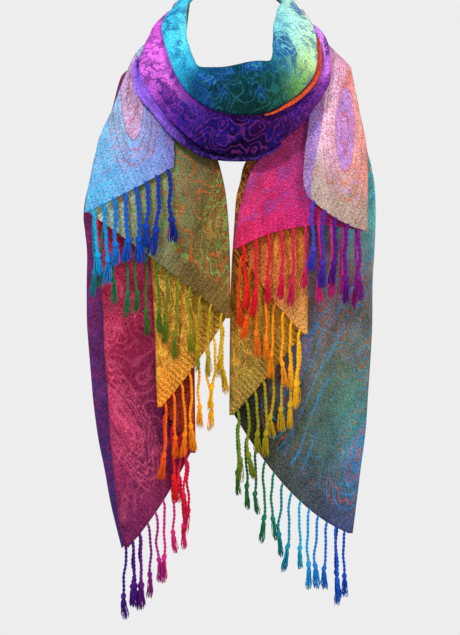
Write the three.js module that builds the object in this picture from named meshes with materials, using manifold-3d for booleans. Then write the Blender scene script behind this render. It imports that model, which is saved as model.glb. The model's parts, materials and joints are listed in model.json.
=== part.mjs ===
// Worn fringed pashmina shawl, wound once round the neck with both ends hanging in front.
// Millimetres. +Z is up, +X is to the viewer's right, and the front of the wearer faces -Y.
// The origin is the middle of the neck hollow, where the shawl is held.
import * as THREE from "three";
import Module from "manifold-3d";

const wasm = await Module();
wasm.setup();

const CLOTH = 1.6; // wall of a hanging fold
const RING = 1.8; // wall of the cloth round the neck
const SEAM = 0.3; // parting between two stretches of the same cloth
const TAB = 1.6; // flat edge after a turn, where the next stretch starts
const EYE = { x: -7.6, z: -327, far: 3500, plane: -110 }; // where the outlines were read from

const group = new THREE.Group();
group.name = "pashmina_shawl";
const v = (x, y, z) => new THREE.Vector3(x, y, z);
const mix = (a, b, t) => a + (b - a) * t;

// The outlines are read on the plane y = EYE.plane, so a point nearer or farther is scaled about the eye line.
function seen(p) {
  const k = (EYE.far + p.y - EYE.plane) / EYE.far;
  return v(mix(EYE.x, p.x, k), p.y, mix(EYE.z, p.z, k));
}

// A value between the rows of a table of [at, value] pairs, eased so that the slope has no steps.
function along(rows, at) {
  if (at <= rows[0][0]) return rows[0][1];
  const last = rows.length - 1;
  if (at >= rows[last][0]) return rows[last][1];
  let i = 0;
  while (rows[i + 1][0] < at) i += 1;
  const slope = (j) => {
    const a = rows[Math.max(j - 1, 0)];
    const b = rows[Math.min(j + 1, last)];
    return (b[1] - a[1]) / (b[0] - a[0]);
  };
  const [x0, y0] = rows[i];
  const [x1, y1] = rows[i + 1];
  const h = x1 - x0;
  const t = (at - x0) / h;
  return (
    y0 * (1 + 2 * t) * (1 - t) ** 2 + h * slope(i) * t * (1 - t) ** 2 +
    y1 * t * t * (3 - 2 * t) + h * slope(i + 1) * t * t * (t - 1)
  );
}

// A cloth wall from a grid of middle points: grid[row][column]. Each side lies half the wall away.
function wallGeometry(grid, wall, ring = false) {
  const rows = grid.length;
  const cols = grid[0].length;
  const at = (i, j) => grid[ring ? (i + rows) % rows : Math.min(Math.max(i, 0), rows - 1)][
    Math.min(Math.max(j, 0), cols - 1)];
  const points = [];
  for (const side of [0.5, -0.5])
    for (let i = 0; i < rows; i += 1)
      for (let j = 0; j < cols; j += 1) {
        const down = at(i + 1, j).clone().sub(at(i - 1, j));
        const across = at(i, j + 1).clone().sub(at(i, j - 1));
        const normal = across.cross(down).normalize();
        points.push(at(i, j).clone().addScaledVector(normal, side * wall));
      }
  const faces = [];
  const id = (side, i, j) => side * rows * cols + (i % rows) * cols + j;
  const quad = (a, b, c, d) => faces.push(a, b, c, a, c, d);
  const spans = ring ? rows : rows - 1;
  for (let i = 0; i < spans; i += 1) {
    for (let j = 0; j < cols - 1; j += 1) {
      quad(id(0, i, j), id(0, i, j + 1), id(0, i + 1, j + 1), id(0, i + 1, j));
      quad(id(1, i, j), id(1, i + 1, j), id(1, i + 1, j + 1), id(1, i, j + 1));
    }
    quad(id(0, i, 0), id(0, i + 1, 0), id(1, i + 1, 0), id(1, i, 0));
    const e = cols - 1;
    quad(id(0, i, e), id(1, i, e), id(1, i + 1, e), id(0, i + 1, e));
  }
  if (!ring) {
    const e = rows - 1;
    for (let j = 0; j < cols - 1; j += 1) {
      quad(id(0, 0, j), id(1, 0, j), id(1, 0, j + 1), id(0, 0, j + 1));
      quad(id(0, e, j), id(0, e, j + 1), id(1, e, j + 1), id(1, e, j));
    }
  }
  const geometry = new THREE.BufferGeometry();
  geometry.setAttribute("position", new THREE.Float32BufferAttribute(points.flatMap((p) => p.toArray()), 3));
  geometry.setIndex(faces);
  return geometry;
}

// The faces must point out, so a body whose volume comes out negative is turned round.
function outward(geometry) {
  const p = geometry.getAttribute("position");
  const index = geometry.index.array;
  let volume = 0;
  const [a, b, c] = [v(), v(), v()];
  for (let i = 0; i < index.length; i += 3) {
    a.fromBufferAttribute(p, index[i]);
    b.fromBufferAttribute(p, index[i + 1]);
    c.fromBufferAttribute(p, index[i + 2]);
    volume += a.dot(b.cross(c));
  }
  if (volume < 0) for (let i = 0; i < index.length; i += 3) [index[i], index[i + 1]] = [index[i + 1], index[i]];
  return geometry;
}

function add(name, geometry, color) {
  const mesh = new THREE.Mesh(outward(geometry), new THREE.MeshStandardMaterial({ color, roughness: 0.85 }));
  mesh.name = name;
  group.add(mesh);
  return mesh;
}

// The neck loop. Each station has the inner rim (top) and the lower edge of the upper roll,
// how far the roll swells, and the lower edge of the band that shows below it.
const LOOP_COLUMNS = ["tx", "ty", "tz", "bx", "by", "bz", "swell", "mx", "my", "mz"];
const LOOP = [
  [0, -88, -7, 0, -112, -67, 13, 0, -112, -118],
  [-27, -86, -9.5, -30, -110, -60, 13, -41, -110, -110.5],
  [-47, -78, -9, -58, -100, -42, 12, -81, -98, -77.5],
  [-56, -62, 6, -76, -84, -14, 10, -110.5, -78, -38],
  [-62, -42, 28, -88, -60, 19, 9, -123, -48, -1],
  [-63.5, -15, 51, -93, -28, 48, 9, -107, -12, 27],
  [-61, 12, 72, -77, 4, 70, 7, -84, 20, 50],
  [-50, 41, 102, -62, 37, 88, 7, -66, 48.6, 74],
  [-26, 60, 126, -38, 64, 104, 9, -40, 74, 86],
  [0, 68, 134, 0, 74, 108, 10, 0, 84, 90],
  [28, 60, 124, 38, 64, 104, 9, 42, 74, 86],
  [50, 43, 102, 62, 39.4, 87, 7, 68.4, 51.5, 66],
  [60, 20, 78, 78, 12, 66, 7, 89, 26, 44],
  [53, 0, 64, 97, -12, 46, 10, 108, 4, 30],
  [48, -20, 46, 103, -38, 14, 12, 119, -22, 9],
  [47, -40, 28, 100, -62, -15, 14, 119.6, -49.4, -23.4],
  [48, -60, 12, 85, -84, -36, 14, 106, -82, -50],
  [42, -78, -1, 65, -102, -52, 13, 78, -103, -86],
  [23, -86, -1, 36, -110, -66, 13, 38, -112, -113],
].map((row) => Object.fromEntries(LOOP_COLUMNS.map((c, i) => [c, row[i]])));

// The station at any place round the loop, 0 at the front and rising to the wearer's right, by a closed spline.
function station(at) {
  const n = LOOP.length;
  const i = Math.floor(at);
  const t = at - i;
  const out = {};
  for (const c of LOOP_COLUMNS) {
    const [p0, p1, p2, p3] = [-1, 0, 1, 2].map((k) => LOOP[(i + k + 2 * n) % n][c]);
    out[c] = 0.5 * (2 * p1 + (p2 - p0) * t + (2 * p0 - 5 * p1 + 4 * p2 - p3) * t * t +
      (3 * p1 - p0 - 3 * p2 + p3) * t ** 3);
  }
  return { top: v(out.tx, out.ty, out.tz), edge: v(out.bx, out.by, out.bz), swell: out.swell,
    lower: v(out.mx, out.my, out.mz) };
}

// Directions at a station: down the cloth from one point to the other, and out of the cloth.
function frameAt(at, from, to) {
  const down = to(station(at)).clone().sub(from(station(at)));
  const round = to(station(at + 0.2)).clone().sub(to(station(at - 0.2)));
  const length = down.length();
  const out = round.cross(down).normalize();
  return { down: down.normalize(), out, length };
}
const rollFrame = (at) => frameAt(at, (s) => s.top, (s) => s.edge);
const bandFrame = (at) => frameAt(at, (s) => s.edge, (s) => s.lower);
const off = (p, f, down, out) => p.clone().addScaledVector(f.down, down).addScaledVector(f.out, out);

// Across the upper roll: from its inner flank over the rim and round to where it turns under.
function rollAcross(at) {
  const s = station(at);
  const f = rollFrame(at);
  const line = [off(s.top, f, 11, -13), off(s.top, f, 4, -9), off(s.top, f, 0.6, -4)];
  for (const t of [0.04, 0.22, 0.45, 0.7, 0.9])
    line.push(off(s.top, f, f.length * t, s.swell * Math.sin(Math.PI * (0.12 + 0.88 * t)) - 0.5));
  line.push(off(s.edge, f, 0, -1.5), off(s.edge, f, -0.3, -4), off(s.edge, f, -0.4, -6 + SEAM / 2));
  return line;
}

// Across the middle band: from the seam where the roll turns under, in behind it and out to the lower edge.
function bandAcross(at) {
  const s = station(at);
  const roll = rollFrame(at);
  const f = bandFrame(at);
  const start = off(s.edge, roll, 6, -10.4);
  const line = [off(s.edge, roll, -0.4, -6 - SEAM), off(s.edge, roll, -0.5, -7.6), off(s.edge, roll, 1.6, -9.8), start];
  for (const t of [0.3, 0.6, 0.85]) {
    const p = start.clone().lerp(s.lower, t);
    line.push(p.addScaledVector(f.out, 5 * Math.sin(Math.PI * t)));
  }
  line.push(s.lower.clone(), off(s.lower, f, 0.2, -3), off(s.lower, f, 0.3, -5 + SEAM / 2));
  return line;
}

const BAND_STEPS = 38;
const ringGrid = (across, steps) =>
  Array.from({ length: steps }, (_, i) => across((i / steps) * LOOP.length).map(seen));
add("neck_roll_upper", wallGeometry(ringGrid(rollAcross, BAND_STEPS), RING, true), "#1f8a86");
add("neck_band_middle", wallGeometry(ringGrid(bandAcross, BAND_STEPS), RING, true), "#6a2f96");

// An open stretch of the loop between two places, with its rows where the closed rings have theirs.
function arcGrid(across, from, to) {
  const steps = Math.round((Math.abs(to - from) / LOOP.length) * BAND_STEPS);
  return Array.from({ length: steps + 1 }, (_, i) => across(mix(from, to, i / steps), i / steps).map(seen));
}

// The thin red edge that peeps out between the roll and the band on the viewer's right.
function redAcross(at, t) {
  const s = station(at);
  const f = rollFrame(at);
  const show = 1.5 + 4.5 * Math.sin(Math.PI * Math.min(Math.max(t, 0), 1)) ** 0.6;
  return [off(s.edge, f, 2.6, -5.2), off(s.edge, f, 2.8, -3), off(s.edge, f, 2.5 + show * 0.5, -1.2),
    off(s.edge, f, 2.5 + show, -1.4)];
}
add("neck_layer_red", wallGeometry(arcGrid(redAcross, 13.5, 18), 1.4), "#c03a2e");

// The narrow lowest band: place round the loop, and where its lower edge is.
const LOW_BAND = [
  [4.35, -128, -50, -1], [3.9, -132, -54, -14], [3.3, -126, -72, -42], [2.7, -106, -85, -66], [2, -84, -98, -94],
  [1.5, -62, -105, -111], [1, -42, -108, -122], [0, 2, -110, -128], [-0.8, 34, -110, -123], [-1.6, 62, -106, -106],
];
function lowAcross(at) {
  const s = station(at);
  const f = bandFrame(at);
  const key = LOW_BAND.map((row) => [-row[0], row[1], row[2], row[3]]);
  const lower = v(...[1, 2, 3].map((c) => along(key.map((row) => [row[0], row[c]]), -at)));
  const start = off(s.lower, f, 3.6, -8.8);
  return [off(s.lower, f, 0.3, -5 - SEAM), off(s.lower, f, 0.2, -6.6), off(s.lower, f, 1.6, -8.4), start,
    start.clone().lerp(lower, 0.55).addScaledVector(f.out, 2), lower, off(lower, f, 0.2, -5)];
}
add("neck_band_lower", wallGeometry(arcGrid(lowAcross, 4.5, -1.5), RING), "#3a1c72");

// The way the front layer of a hanging end takes: behind the neck, over the shoulder and down.
// The first column is the way down in mm; where the cloth hangs free it is minus the height.
const WAY_Y = [[-105, 56.4], [-80, 52.4], [-50, 40], [-25, 22], [0, 0], [20, -21], [45, -48], [60, -62], [95, -83],
  [125, -95], [160, -108], [200, -114], [260, -118], [900, -118]];
const WAY_Z = [[-105, 80], [-80, 57], [-50, 32], [-25, 18], [0, 11], [20, 3], [45, -30], [60, -52], [95, -94],
  [125, -125], [160, -160], [900, -900]];
const LAYER_STEP = [[-105, 3], [20, 3.2], [60, 3.8], [110, 5.2], [220, 9.5], [900, 9.5]];

// A point of a hanging end: how far across, how far down, and how many layers in.
function onEnd(side, x, down, layer) {
  const e = 0.5;
  const ty = along(WAY_Y, down + e) - along(WAY_Y, down - e);
  const tz = along(WAY_Z, down + e) - along(WAY_Z, down - e);
  const size = Math.hypot(ty, tz);
  const inward = layer * along(LAYER_STEP, down);
  const fade = 1 - THREE.MathUtils.smoothstep(down, 15, 110);
  const slope = -0.0078 * Math.max(0, Math.abs(x) - 95) ** 2 * fade;
  const lift = (side === "left" ? 10.4 : 0) * fade;
  const sway = 3 * Math.sin(x / 31 + down / 90) * THREE.MathUtils.smoothstep(down, 120, 260);
  return v(x, along(WAY_Y, down) - (inward * tz) / size + sway, along(WAY_Z, down) + (inward * ty) / size + slope + lift);
}

// The fold lines of each end from the front selvedge back: where each crosses the shoulder,
// then points of [across, down] to the hem.
const FOLDS = {
  left: [
    { ridge: -82, line: [[-90, 63], [-81.3, 84], [-77.5, 117.5], [-78.7, 136]] },
    { ridge: -121, line: [[-128, 15], [-148.6, 44.5], [-166.4, 76], [-174, 96.5], [-180.3, 124.5], [-184.7, 145],
      [-190.5, 173], [-193, 193]] },
    { ridge: -66, line: [[-63.5, 41], [-35.6, 91], [-21.6, 127], [-15.2, 152], [-11.4, 178], [-8.5, 215],
      [-7.2, 252], [-6.3, 328]] },
    { ridge: -108, line: [[-113, 38], [-111.8, 114], [-109.2, 229], [-103.4, 349], [-102, 404], [-100.3, 441]] },
    { ridge: -74, line: [[-71, 38], [-61, 102], [-54.6, 203], [-52, 305], [-52, 397], [-50.8, 499]] },
    { ridge: -116, line: [[-129.5, 25], [-156, 82], [-172.7, 152], [-179, 216], [-169.5, 307], [-168, 363],
      [-165, 404], [-162.6, 438], [-160, 483], [-155, 530], [-149, 586], [-142, 619]] },
    { ridge: -92, line: [[-109, 38], [-124.5, 114], [-132, 216], [-128, 343], [-124.5, 457], [-120, 560], [-118, 598]] },
    { ridge: -129, line: [[-139.7, 9], [-149.5, 28], [-157, 47], [-167.5, 74], [-176.5, 99], [-184, 127],
      [-191.5, 163], [-194.5, 194], [-192.5, 213], [-190, 240], [-190.5, 292], [-190, 335], [-188, 363],
      [-184.7, 404], [-181.6, 438], [-175.3, 483], [-168, 519], [-160, 563], [-146, 620]] },
  ],
  right: [
    { ridge: 78, line: [[92.7, 56], [90.9, 84], [86.4, 119], [85, 157], [90.2, 173]] },
    { ridge: 146, line: [[147.3, 15], [151.8, 33], [158.8, 62], [165, 99], [167.6, 127], [167.6, 217]] },
    { ridge: 70, line: [[68.6, 44.5], [55.9, 82.5], [36.8, 116.8], [22.9, 130], [15.2, 146], [8.9, 168], [1.9, 197],
      [-3.8, 239]] },
    { ridge: 112, line: [[113, 44.5], [104, 114], [96.5, 178], [92.7, 229], [92, 305], [91.4, 348]] },
    { ridge: 66, line: [[59.7, 44.5], [25.4, 102], [9.5, 127], [5, 146], [0, 169], [-2.6, 207], [-5.5, 252],
      [-7.5, 305], [-8.4, 368], [-8.9, 451]] },
    { ridge: 144, line: [[148.6, 32], [156, 63.5], [161, 84], [166.4, 105], [172.7, 127], [176.5, 149], [177.8, 193],
      [176.5, 236], [174, 281], [173.4, 339], [171, 383], [168, 427], [165, 471], [158.8, 519], [153.7, 561],
      [148.6, 601]] },
    { ridge: 118, line: [[119.4, 44.5], [129.5, 140], [134.6, 241], [129.5, 432], [124.5, 521], [119.4, 569]] },
  ],
};

// The stretches between the fold lines, front to back: the lines on its outer and inner side, the layer,
// which side turns back to the next layer, how far the hem bows down, and its fringe strands and their cord.
const STRETCHES = {
  left: [
    { name: "left_fold_1", from: 0, to: 1, layer: 0, turn: 1, bow: 1, strands: 8, cord: 2.3, color: "#6fb4e4" },
    { name: "left_fold_2", from: 1, to: 2, layer: 1, turn: 2, bow: -3, strands: 13, cord: 1.5, color: "#7a6a3a" },
    { name: "left_fold_3", from: 2, to: 3, layer: 2, turn: 3, bow: 6, strands: 8, cord: 1.6, color: "#b8792c" },
    { name: "left_fold_4", from: 3, to: 4, layer: 3, turn: 4, bow: 0, strands: 4, cord: 1.6, color: "#7a2c22" },
    { name: "left_fold_5", from: 4, to: 5, layer: 4, turn: 5, bow: 9, strands: 8, cord: 1.6, color: "#9c3060" },
    { name: "left_fold_6", from: 6, to: 7, layer: 5.8, turn: -1, bow: 0, strands: 3, cord: 1.7, color: "#5a2350" },
  ],
  right: [
    { name: "right_fold_1", from: 0, to: 1, layer: 0, turn: 1, bow: 6, strands: 5, cord: 2.2, color: "#d8a6b8" },
    { name: "right_fold_2", from: 1, to: 2, layer: 1, turn: 2, bow: -17, strands: 10, cord: 1.7, color: "#cc2f62" },
    { name: "right_fold_3", from: 2, to: 3, layer: 2, turn: 3, bow: 8, strands: 8, cord: 1.6, color: "#b0603a" },
    { name: "right_fold_4", from: 3, to: 4, layer: 3, turn: 4, bow: 2, strands: 8, cord: 1.8, color: "#9a7a2c" },
    { name: "right_fold_5", from: 4, to: 5, layer: 4, turn: 5, bow: 24, strands: 13, cord: 1.6, color: "#47707a" },
    { name: "right_fold_6", from: 5, to: 6, layer: 5, turn: -1, bow: 0, strands: 1, cord: 1.6, color: "#3f9a9a" },
  ],
};
const TOP_ROWS = [-88, -66, -44, -22, 0, 20, 42, 70, 105]; // mm down, shared by the stretches of an end
const LOWER_ROWS = 6;

// A fold line at row r of the shared rows: behind the shoulder it draws in towards the neck.
function foldPoint(fold, row) {
  const sign = Math.sign(fold.ridge);
  const wide = Math.abs(fold.ridge) - 66;
  const rows = [[-105, sign * (56 + wide * 0.25)], [-50, sign * (62 + wide * 0.58)], [0, fold.ridge],
    ...fold.line.map(([x, down]) => [down, x])];
  const hem = rows[rows.length - 1][0];
  const extra = row - (TOP_ROWS.length - 1);
  const down = extra <= 0 ? TOP_ROWS[row] : mix(TOP_ROWS[TOP_ROWS.length - 1], hem, extra / LOWER_ROWS);
  return { x: along(rows, down), down };
}

const COLUMNS = [0, 0.2, 0.4, 0.6, 0.8, 1];
function stretchGrid(side, stretch) {
  const folds = FOLDS[side];
  const grid = [];
  for (let row = 0; row < TOP_ROWS.length + LOWER_ROWS; row += 1) {
    const a = foldPoint(folds[stretch.from], row);
    const b = foldPoint(folds[stretch.to], row);
    const way = Math.sign(b.x - a.x);
    const low = Math.max(0, (row - TOP_ROWS.length + 1) / LOWER_ROWS) ** 3;
    const radius = (p) => along(LAYER_STEP, p.down) / 2;
    // The flat part starts where the layer before turned back, and stops where this one turns.
    const startsInTurn = stretch.layer > 0 && stretch.layer < 5.5;
    const flat0 = a.x + way * (startsInTurn ? radius(a) + TAB + SEAM * 1.4 : CLOTH / 2);
    const flat1 = b.x - way * (stretch.turn > 0 ? radius(b) : CLOTH / 2);
    const line = COLUMNS.map((c) => {
      const down = mix(a.down, b.down, c) + stretch.bow * 4 * c * (1 - c) * low;
      return onEnd(side, mix(flat0, flat1, c), down, stretch.layer);
    });
    if (stretch.turn > 0) {
      for (const turn of [45, 90, 135, 180]) {
        const q = THREE.MathUtils.degToRad(turn);
        const x = flat1 + way * (radius(b) - CLOTH / 2) * Math.sin(q);
        line.push(onEnd(side, x, b.down, stretch.layer + (1 - Math.cos(q)) / 2));
      }
      line.push(onEnd(side, flat1 - way * TAB, b.down, stretch.layer + 1));
    }
    grid.push(line.map(seen));
  }
  return grid;
}

function solidOf(geometry) {
  outward(geometry);
  return new wasm.Manifold(new wasm.Mesh({
    numProp: 3,
    vertProperties: new Float32Array(geometry.getAttribute("position").array),
    triVerts: new Uint32Array(geometry.index.array),
  }));
}

// A strand of fringe: four-sided rings from its root, with the knot and the frayed end. Each row is how far
// down it is, as a share of the length, and how wide, as a multiple of the cord. The first row is in mm.
const STRAND = [[-1.2, 0.95], [0.64, 1.1], [0.7, 2.1], [0.88, 2.6], [1, 1.5]];
function strandGeometry(side, layer, cord, root, length, lean) {
  const points = [];
  const depth = (x, z) => seen(onEnd(side, x, -z, layer)).y;
  const start = depth(root.x, root.z);
  for (const [down, width] of STRAND) {
    const radius = width * cord;
    const drop = down < 0 ? down : down * length;
    const y = root.y + depth(root.x, root.z - drop) - start;
    for (let k = 0; k < 4; k += 1) {
      const q = (k / 4) * 2 * Math.PI + Math.PI / 4;
      points.push(root.x + lean * Math.max(drop, 0) + radius * Math.cos(q), y + radius * 0.8 * Math.sin(q),
        root.z - drop);
    }
  }
  const faces = [0, 1, 2, 0, 2, 3];
  const e = (STRAND.length - 1) * 4;
  faces.push(e, e + 2, e + 1, e, e + 3, e + 2);
  for (let i = 0; i < STRAND.length - 1; i += 1)
    for (let k = 0; k < 4; k += 1) {
      const [a, b] = [i * 4 + k, i * 4 + ((k + 1) % 4)];
      faces.push(a, a + 4, b + 4, a, b + 4, b);
    }
  const geometry = new THREE.BufferGeometry();
  geometry.setAttribute("position", new THREE.Float32BufferAttribute(points, 3));
  geometry.setIndex(faces);
  return geometry;
}

// The fringe of a stretch: a narrow strip a seam below its hem, and the strands fused into it.
function fringeGeometry(side, stretch, index) {
  const hem = stretchGrid(side, stretch).at(-1).slice(0, COLUMNS.length);

  const slopes = hem.map((p, i) => {
    const [a, b] = [hem[Math.max(i - 1, 0)], hem[Math.min(i + 1, hem.length - 1)]];
    return Math.hypot(b.x - a.x, b.z - a.z) / Math.max(Math.abs(b.x - a.x), 1);
  });
  const gap = hem.map((p, i) => v(p.x, p.y, p.z - SEAM * 1.6 * slopes[i]));
  const low = hem.map((p, i) => v(p.x, p.y, p.z - (SEAM + 3) * slopes[i]));
  const strip = solidOf(wallGeometry([gap, low], CLOTH));
  const solids = [strip];
  for (let i = 0; i < stretch.strands; i += 1) {
    const t = ((i + 0.5) / stretch.strands) * (hem.length - 1);
    const j = Math.min(Math.floor(t), hem.length - 2);
    const p = hem[j].clone().lerp(hem[j + 1], t - j);
    const slope = mix(slopes[j], slopes[j + 1], t - j);
    const wave = Math.sin(i * 2.4 + index * 1.7);
    p.z -= (SEAM + 1.9) * slope + 1.3 * Math.sqrt(Math.max(slope * slope - 1, 0)) + 1;
    solids.push(solidOf(strandGeometry(side, stretch.layer, stretch.cord, p, 92 + 9 * wave, 0.03 * Math.cos(i * 1.9 + index))));
  }
  const made = wasm.Manifold.union(solids).getMesh();
  const geometry = new THREE.BufferGeometry();
  geometry.setAttribute("position", new THREE.Float32BufferAttribute(made.vertProperties, 3));
  geometry.setIndex([...made.triVerts]);

  return geometry;
}

for (const side of ["left", "right"])
  STRETCHES[side].forEach((stretch, index) => {
    add(stretch.name, wallGeometry(stretchGrid(side, stretch), CLOTH), stretch.color);
    add(stretch.name.replace("fold", "fringe"), fringeGeometry(side, stretch, index), stretch.color);
  });

export default group;
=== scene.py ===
"""Looks of the worn pashmina shawl: woven cloth, dyed warp, paisley motifs and twisted fringe.

The cloth stretches follow the same tables as the CAD part, in millimetres, and replace its nodes.
"""
from __future__ import annotations

import json
import logging
import math
from dataclasses import dataclass, field
from enum import Enum
from typing import Callable, Sequence

import bmesh
import bpy
import numpy as np
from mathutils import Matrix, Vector

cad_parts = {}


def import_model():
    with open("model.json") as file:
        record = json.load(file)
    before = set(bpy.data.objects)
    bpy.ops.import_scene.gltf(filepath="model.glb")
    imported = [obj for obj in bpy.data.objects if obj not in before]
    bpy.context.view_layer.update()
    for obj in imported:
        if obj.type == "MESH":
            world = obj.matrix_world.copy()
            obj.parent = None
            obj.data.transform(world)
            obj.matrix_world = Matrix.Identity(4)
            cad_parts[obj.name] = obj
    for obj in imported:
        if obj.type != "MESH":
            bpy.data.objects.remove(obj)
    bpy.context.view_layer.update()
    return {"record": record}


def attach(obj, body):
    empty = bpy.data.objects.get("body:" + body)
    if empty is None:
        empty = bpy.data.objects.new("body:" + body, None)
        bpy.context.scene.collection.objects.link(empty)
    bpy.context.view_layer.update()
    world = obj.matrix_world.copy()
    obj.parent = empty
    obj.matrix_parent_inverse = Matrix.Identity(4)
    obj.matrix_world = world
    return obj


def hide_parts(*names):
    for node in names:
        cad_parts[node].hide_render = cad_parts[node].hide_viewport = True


LOG = logging.getLogger("shawl")
LEFT_SEED, RIGHT_SEED = 7, 3

Ramp = tuple[tuple[float, str], ...]
Triple = tuple[float, float, float]
Socket = bpy.types.NodeSocket
MM = 0.001
CLOTH_MM = 0.9
SEAM_MM = 0.3
TAB_MM = 1.6
# A sheet under 10 mm wide can't be declared, so the narrow red edge is declared this wide.
CAD_WALL_MM = 1.6
# The eye stands EYE_FAR_MM in front of the plane on which the outlines were read.
EYE_X_MM, EYE_Z_MM, EYE_FAR_MM, EYE_PLANE_MM = -7.6, -327.0, 3500.0, -110.0
PICTURE_HEIGHT, MM_PER_PIXEL, SENSOR_MM = 635, 1.27, 36.0
# A stretch runs from BEHIND_MM, behind the neck, to its hem, and this share of it lies above SHOULDER_MM.
SHOULDER_MM, SHOULDER_SHARE, BEHIND_MM = 105, 0.3, -88
# A strand of the fringe, in mm and in shares of its length.
STRAND_MM, CORD_END, KNOT, TUFT = 92, 0.68, (0.64, 0.73), 0.71
CORD_SIDES, HAIR_SIDES, TUFT_HAIRS, HEM_STEPS = 8, 3, 26, 40


class Side(Enum):
    """The end of the shawl, as the viewer sees it."""

    LEFT = "left"
    RIGHT = "right"


@dataclass(frozen=True)
class Fold:
    """A fold line of a hanging end.

    Attributes:
        ridge: Where it crosses the shoulder, across, in mm.
        line: Points of (across, down) in mm from below the shoulder to the hem.
    """

    ridge: float
    line: tuple[tuple[float, float], ...]


@dataclass(frozen=True)
class DyeAndShade:
    """Colours of one stretch of the cloth, with painted shade and highlight on some stretches.

    Attributes:
        near: Ground by the hem, from the first fold line (0) to the last (1); some edges hold painted shade.
        far: Ground higher up; on some stretches it holds painted shade, shadow and highlight by the folds.
        rise: Heights between which the one gives way to the other, in metres.
        weft: Colour of the crossing thread, which shows as specks.
        share: How much of the ground the specks take, 0 to 1.
        motif: Colour of the outlines of the figures.
        second: Colour of the fine curling lines.
        inside: Ground within the large figures.
        fill: How strongly it shows, 0 to 1.
        shift: Where the row of large figures starts, in metres.
        lean: How far the figures lean along the hem for each metre up.
        pattern: How strongly the outlines show, 0 to 1.
        curls: How strongly the curling lines show, 0 to 1.
        streaks: How strongly long slanting lines show, 0 to 1.
        crown: Colour of the cloth high up, or nothing for that of far.
        pucker: How strongly the ridges by the hem show, 0 to 1, in the bump and as painted shade.
    """

    near: Ramp
    far: Ramp
    rise: tuple[float, float]
    weft: str
    share: float
    motif: str
    second: str
    inside: str
    fill: float = 0.5
    shift: float = 0.0
    lean: float = 0.45
    pattern: float = 0.7
    curls: float = 0.4
    streaks: float = 0.0
    crown: str = ""
    pucker: float = 0.09


@dataclass(frozen=True)
class Stretch:
    """A stretch of cloth between two fold lines of an end.

    Attributes:
        name: Name of the CAD node.
        start: Index of the fold line at its first edge.
        end: Index of the fold line at its last edge.
        layer: Layers in from the front.
        turns: Whether its last edge turns back to the next layer.
        bow: How far the hem bows down, in mm.
        strands: Strands of its fringe.
        cord: Half the thickness of a strand, in mm.
        hue: Places in the dyed warp at both edges, 0 to 1.
        grain: How far the hue follows the weave rather than the fold lines, 0 to 1.
        dye: Its colours, with painted shade and highlight on some stretches.
    """

    name: str
    start: int
    end: int
    layer: float
    turns: bool
    bow: float
    strands: int
    cord: float
    hue: tuple[float, float]
    grain: float
    dye: DyeAndShade


# Places in the dyed warp from one selvedge to the other, with the colour of the thread there.
WARP: Ramp = (
    (0, "#21277f"), (0.05, "#193eac"), (0.1, "#195ec4"), (0.14, "#1d8bd1"), (0.167, "#21acd5"),
    (0.2, "#197f98"), (0.24, "#197756"), (0.31, "#2d6629"), (0.38, "#6f7f21"), (0.45, "#bc981d"),
    (0.5, "#f5b819"), (0.57, "#f59319"), (0.64, "#ed5e19"), (0.7, "#dd1d21"), (0.77, "#d11d46"),
    (0.84, "#d52d87"), (0.89, "#7f217b"), (0.94, "#4a197b"), (1, "#4a42bc"),
)

# The way the front layer of an end takes; the last rows carry on to below the longest strand.
WAY_Y = ((-105, 56.4), (-80, 52.4), (-50, 40), (-25, 22), (0, 0), (20, -21), (45, -48), (60, -62),
         (95, -83), (125, -95), (160, -108), (200, -114), (260, -118), (900, -118))
WAY_Z = ((-105, 80), (-80, 57), (-50, 32), (-25, 18), (0, 11), (20, 3), (45, -30), (60, -52), (95, -94),
         (125, -125), (160, -160), (900, -900))
LAYER_STEP = ((-105, 3.0), (20, 3.2), (60, 3.8), (110, 5.2), (220, 9.5), (900, 9.5))

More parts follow.
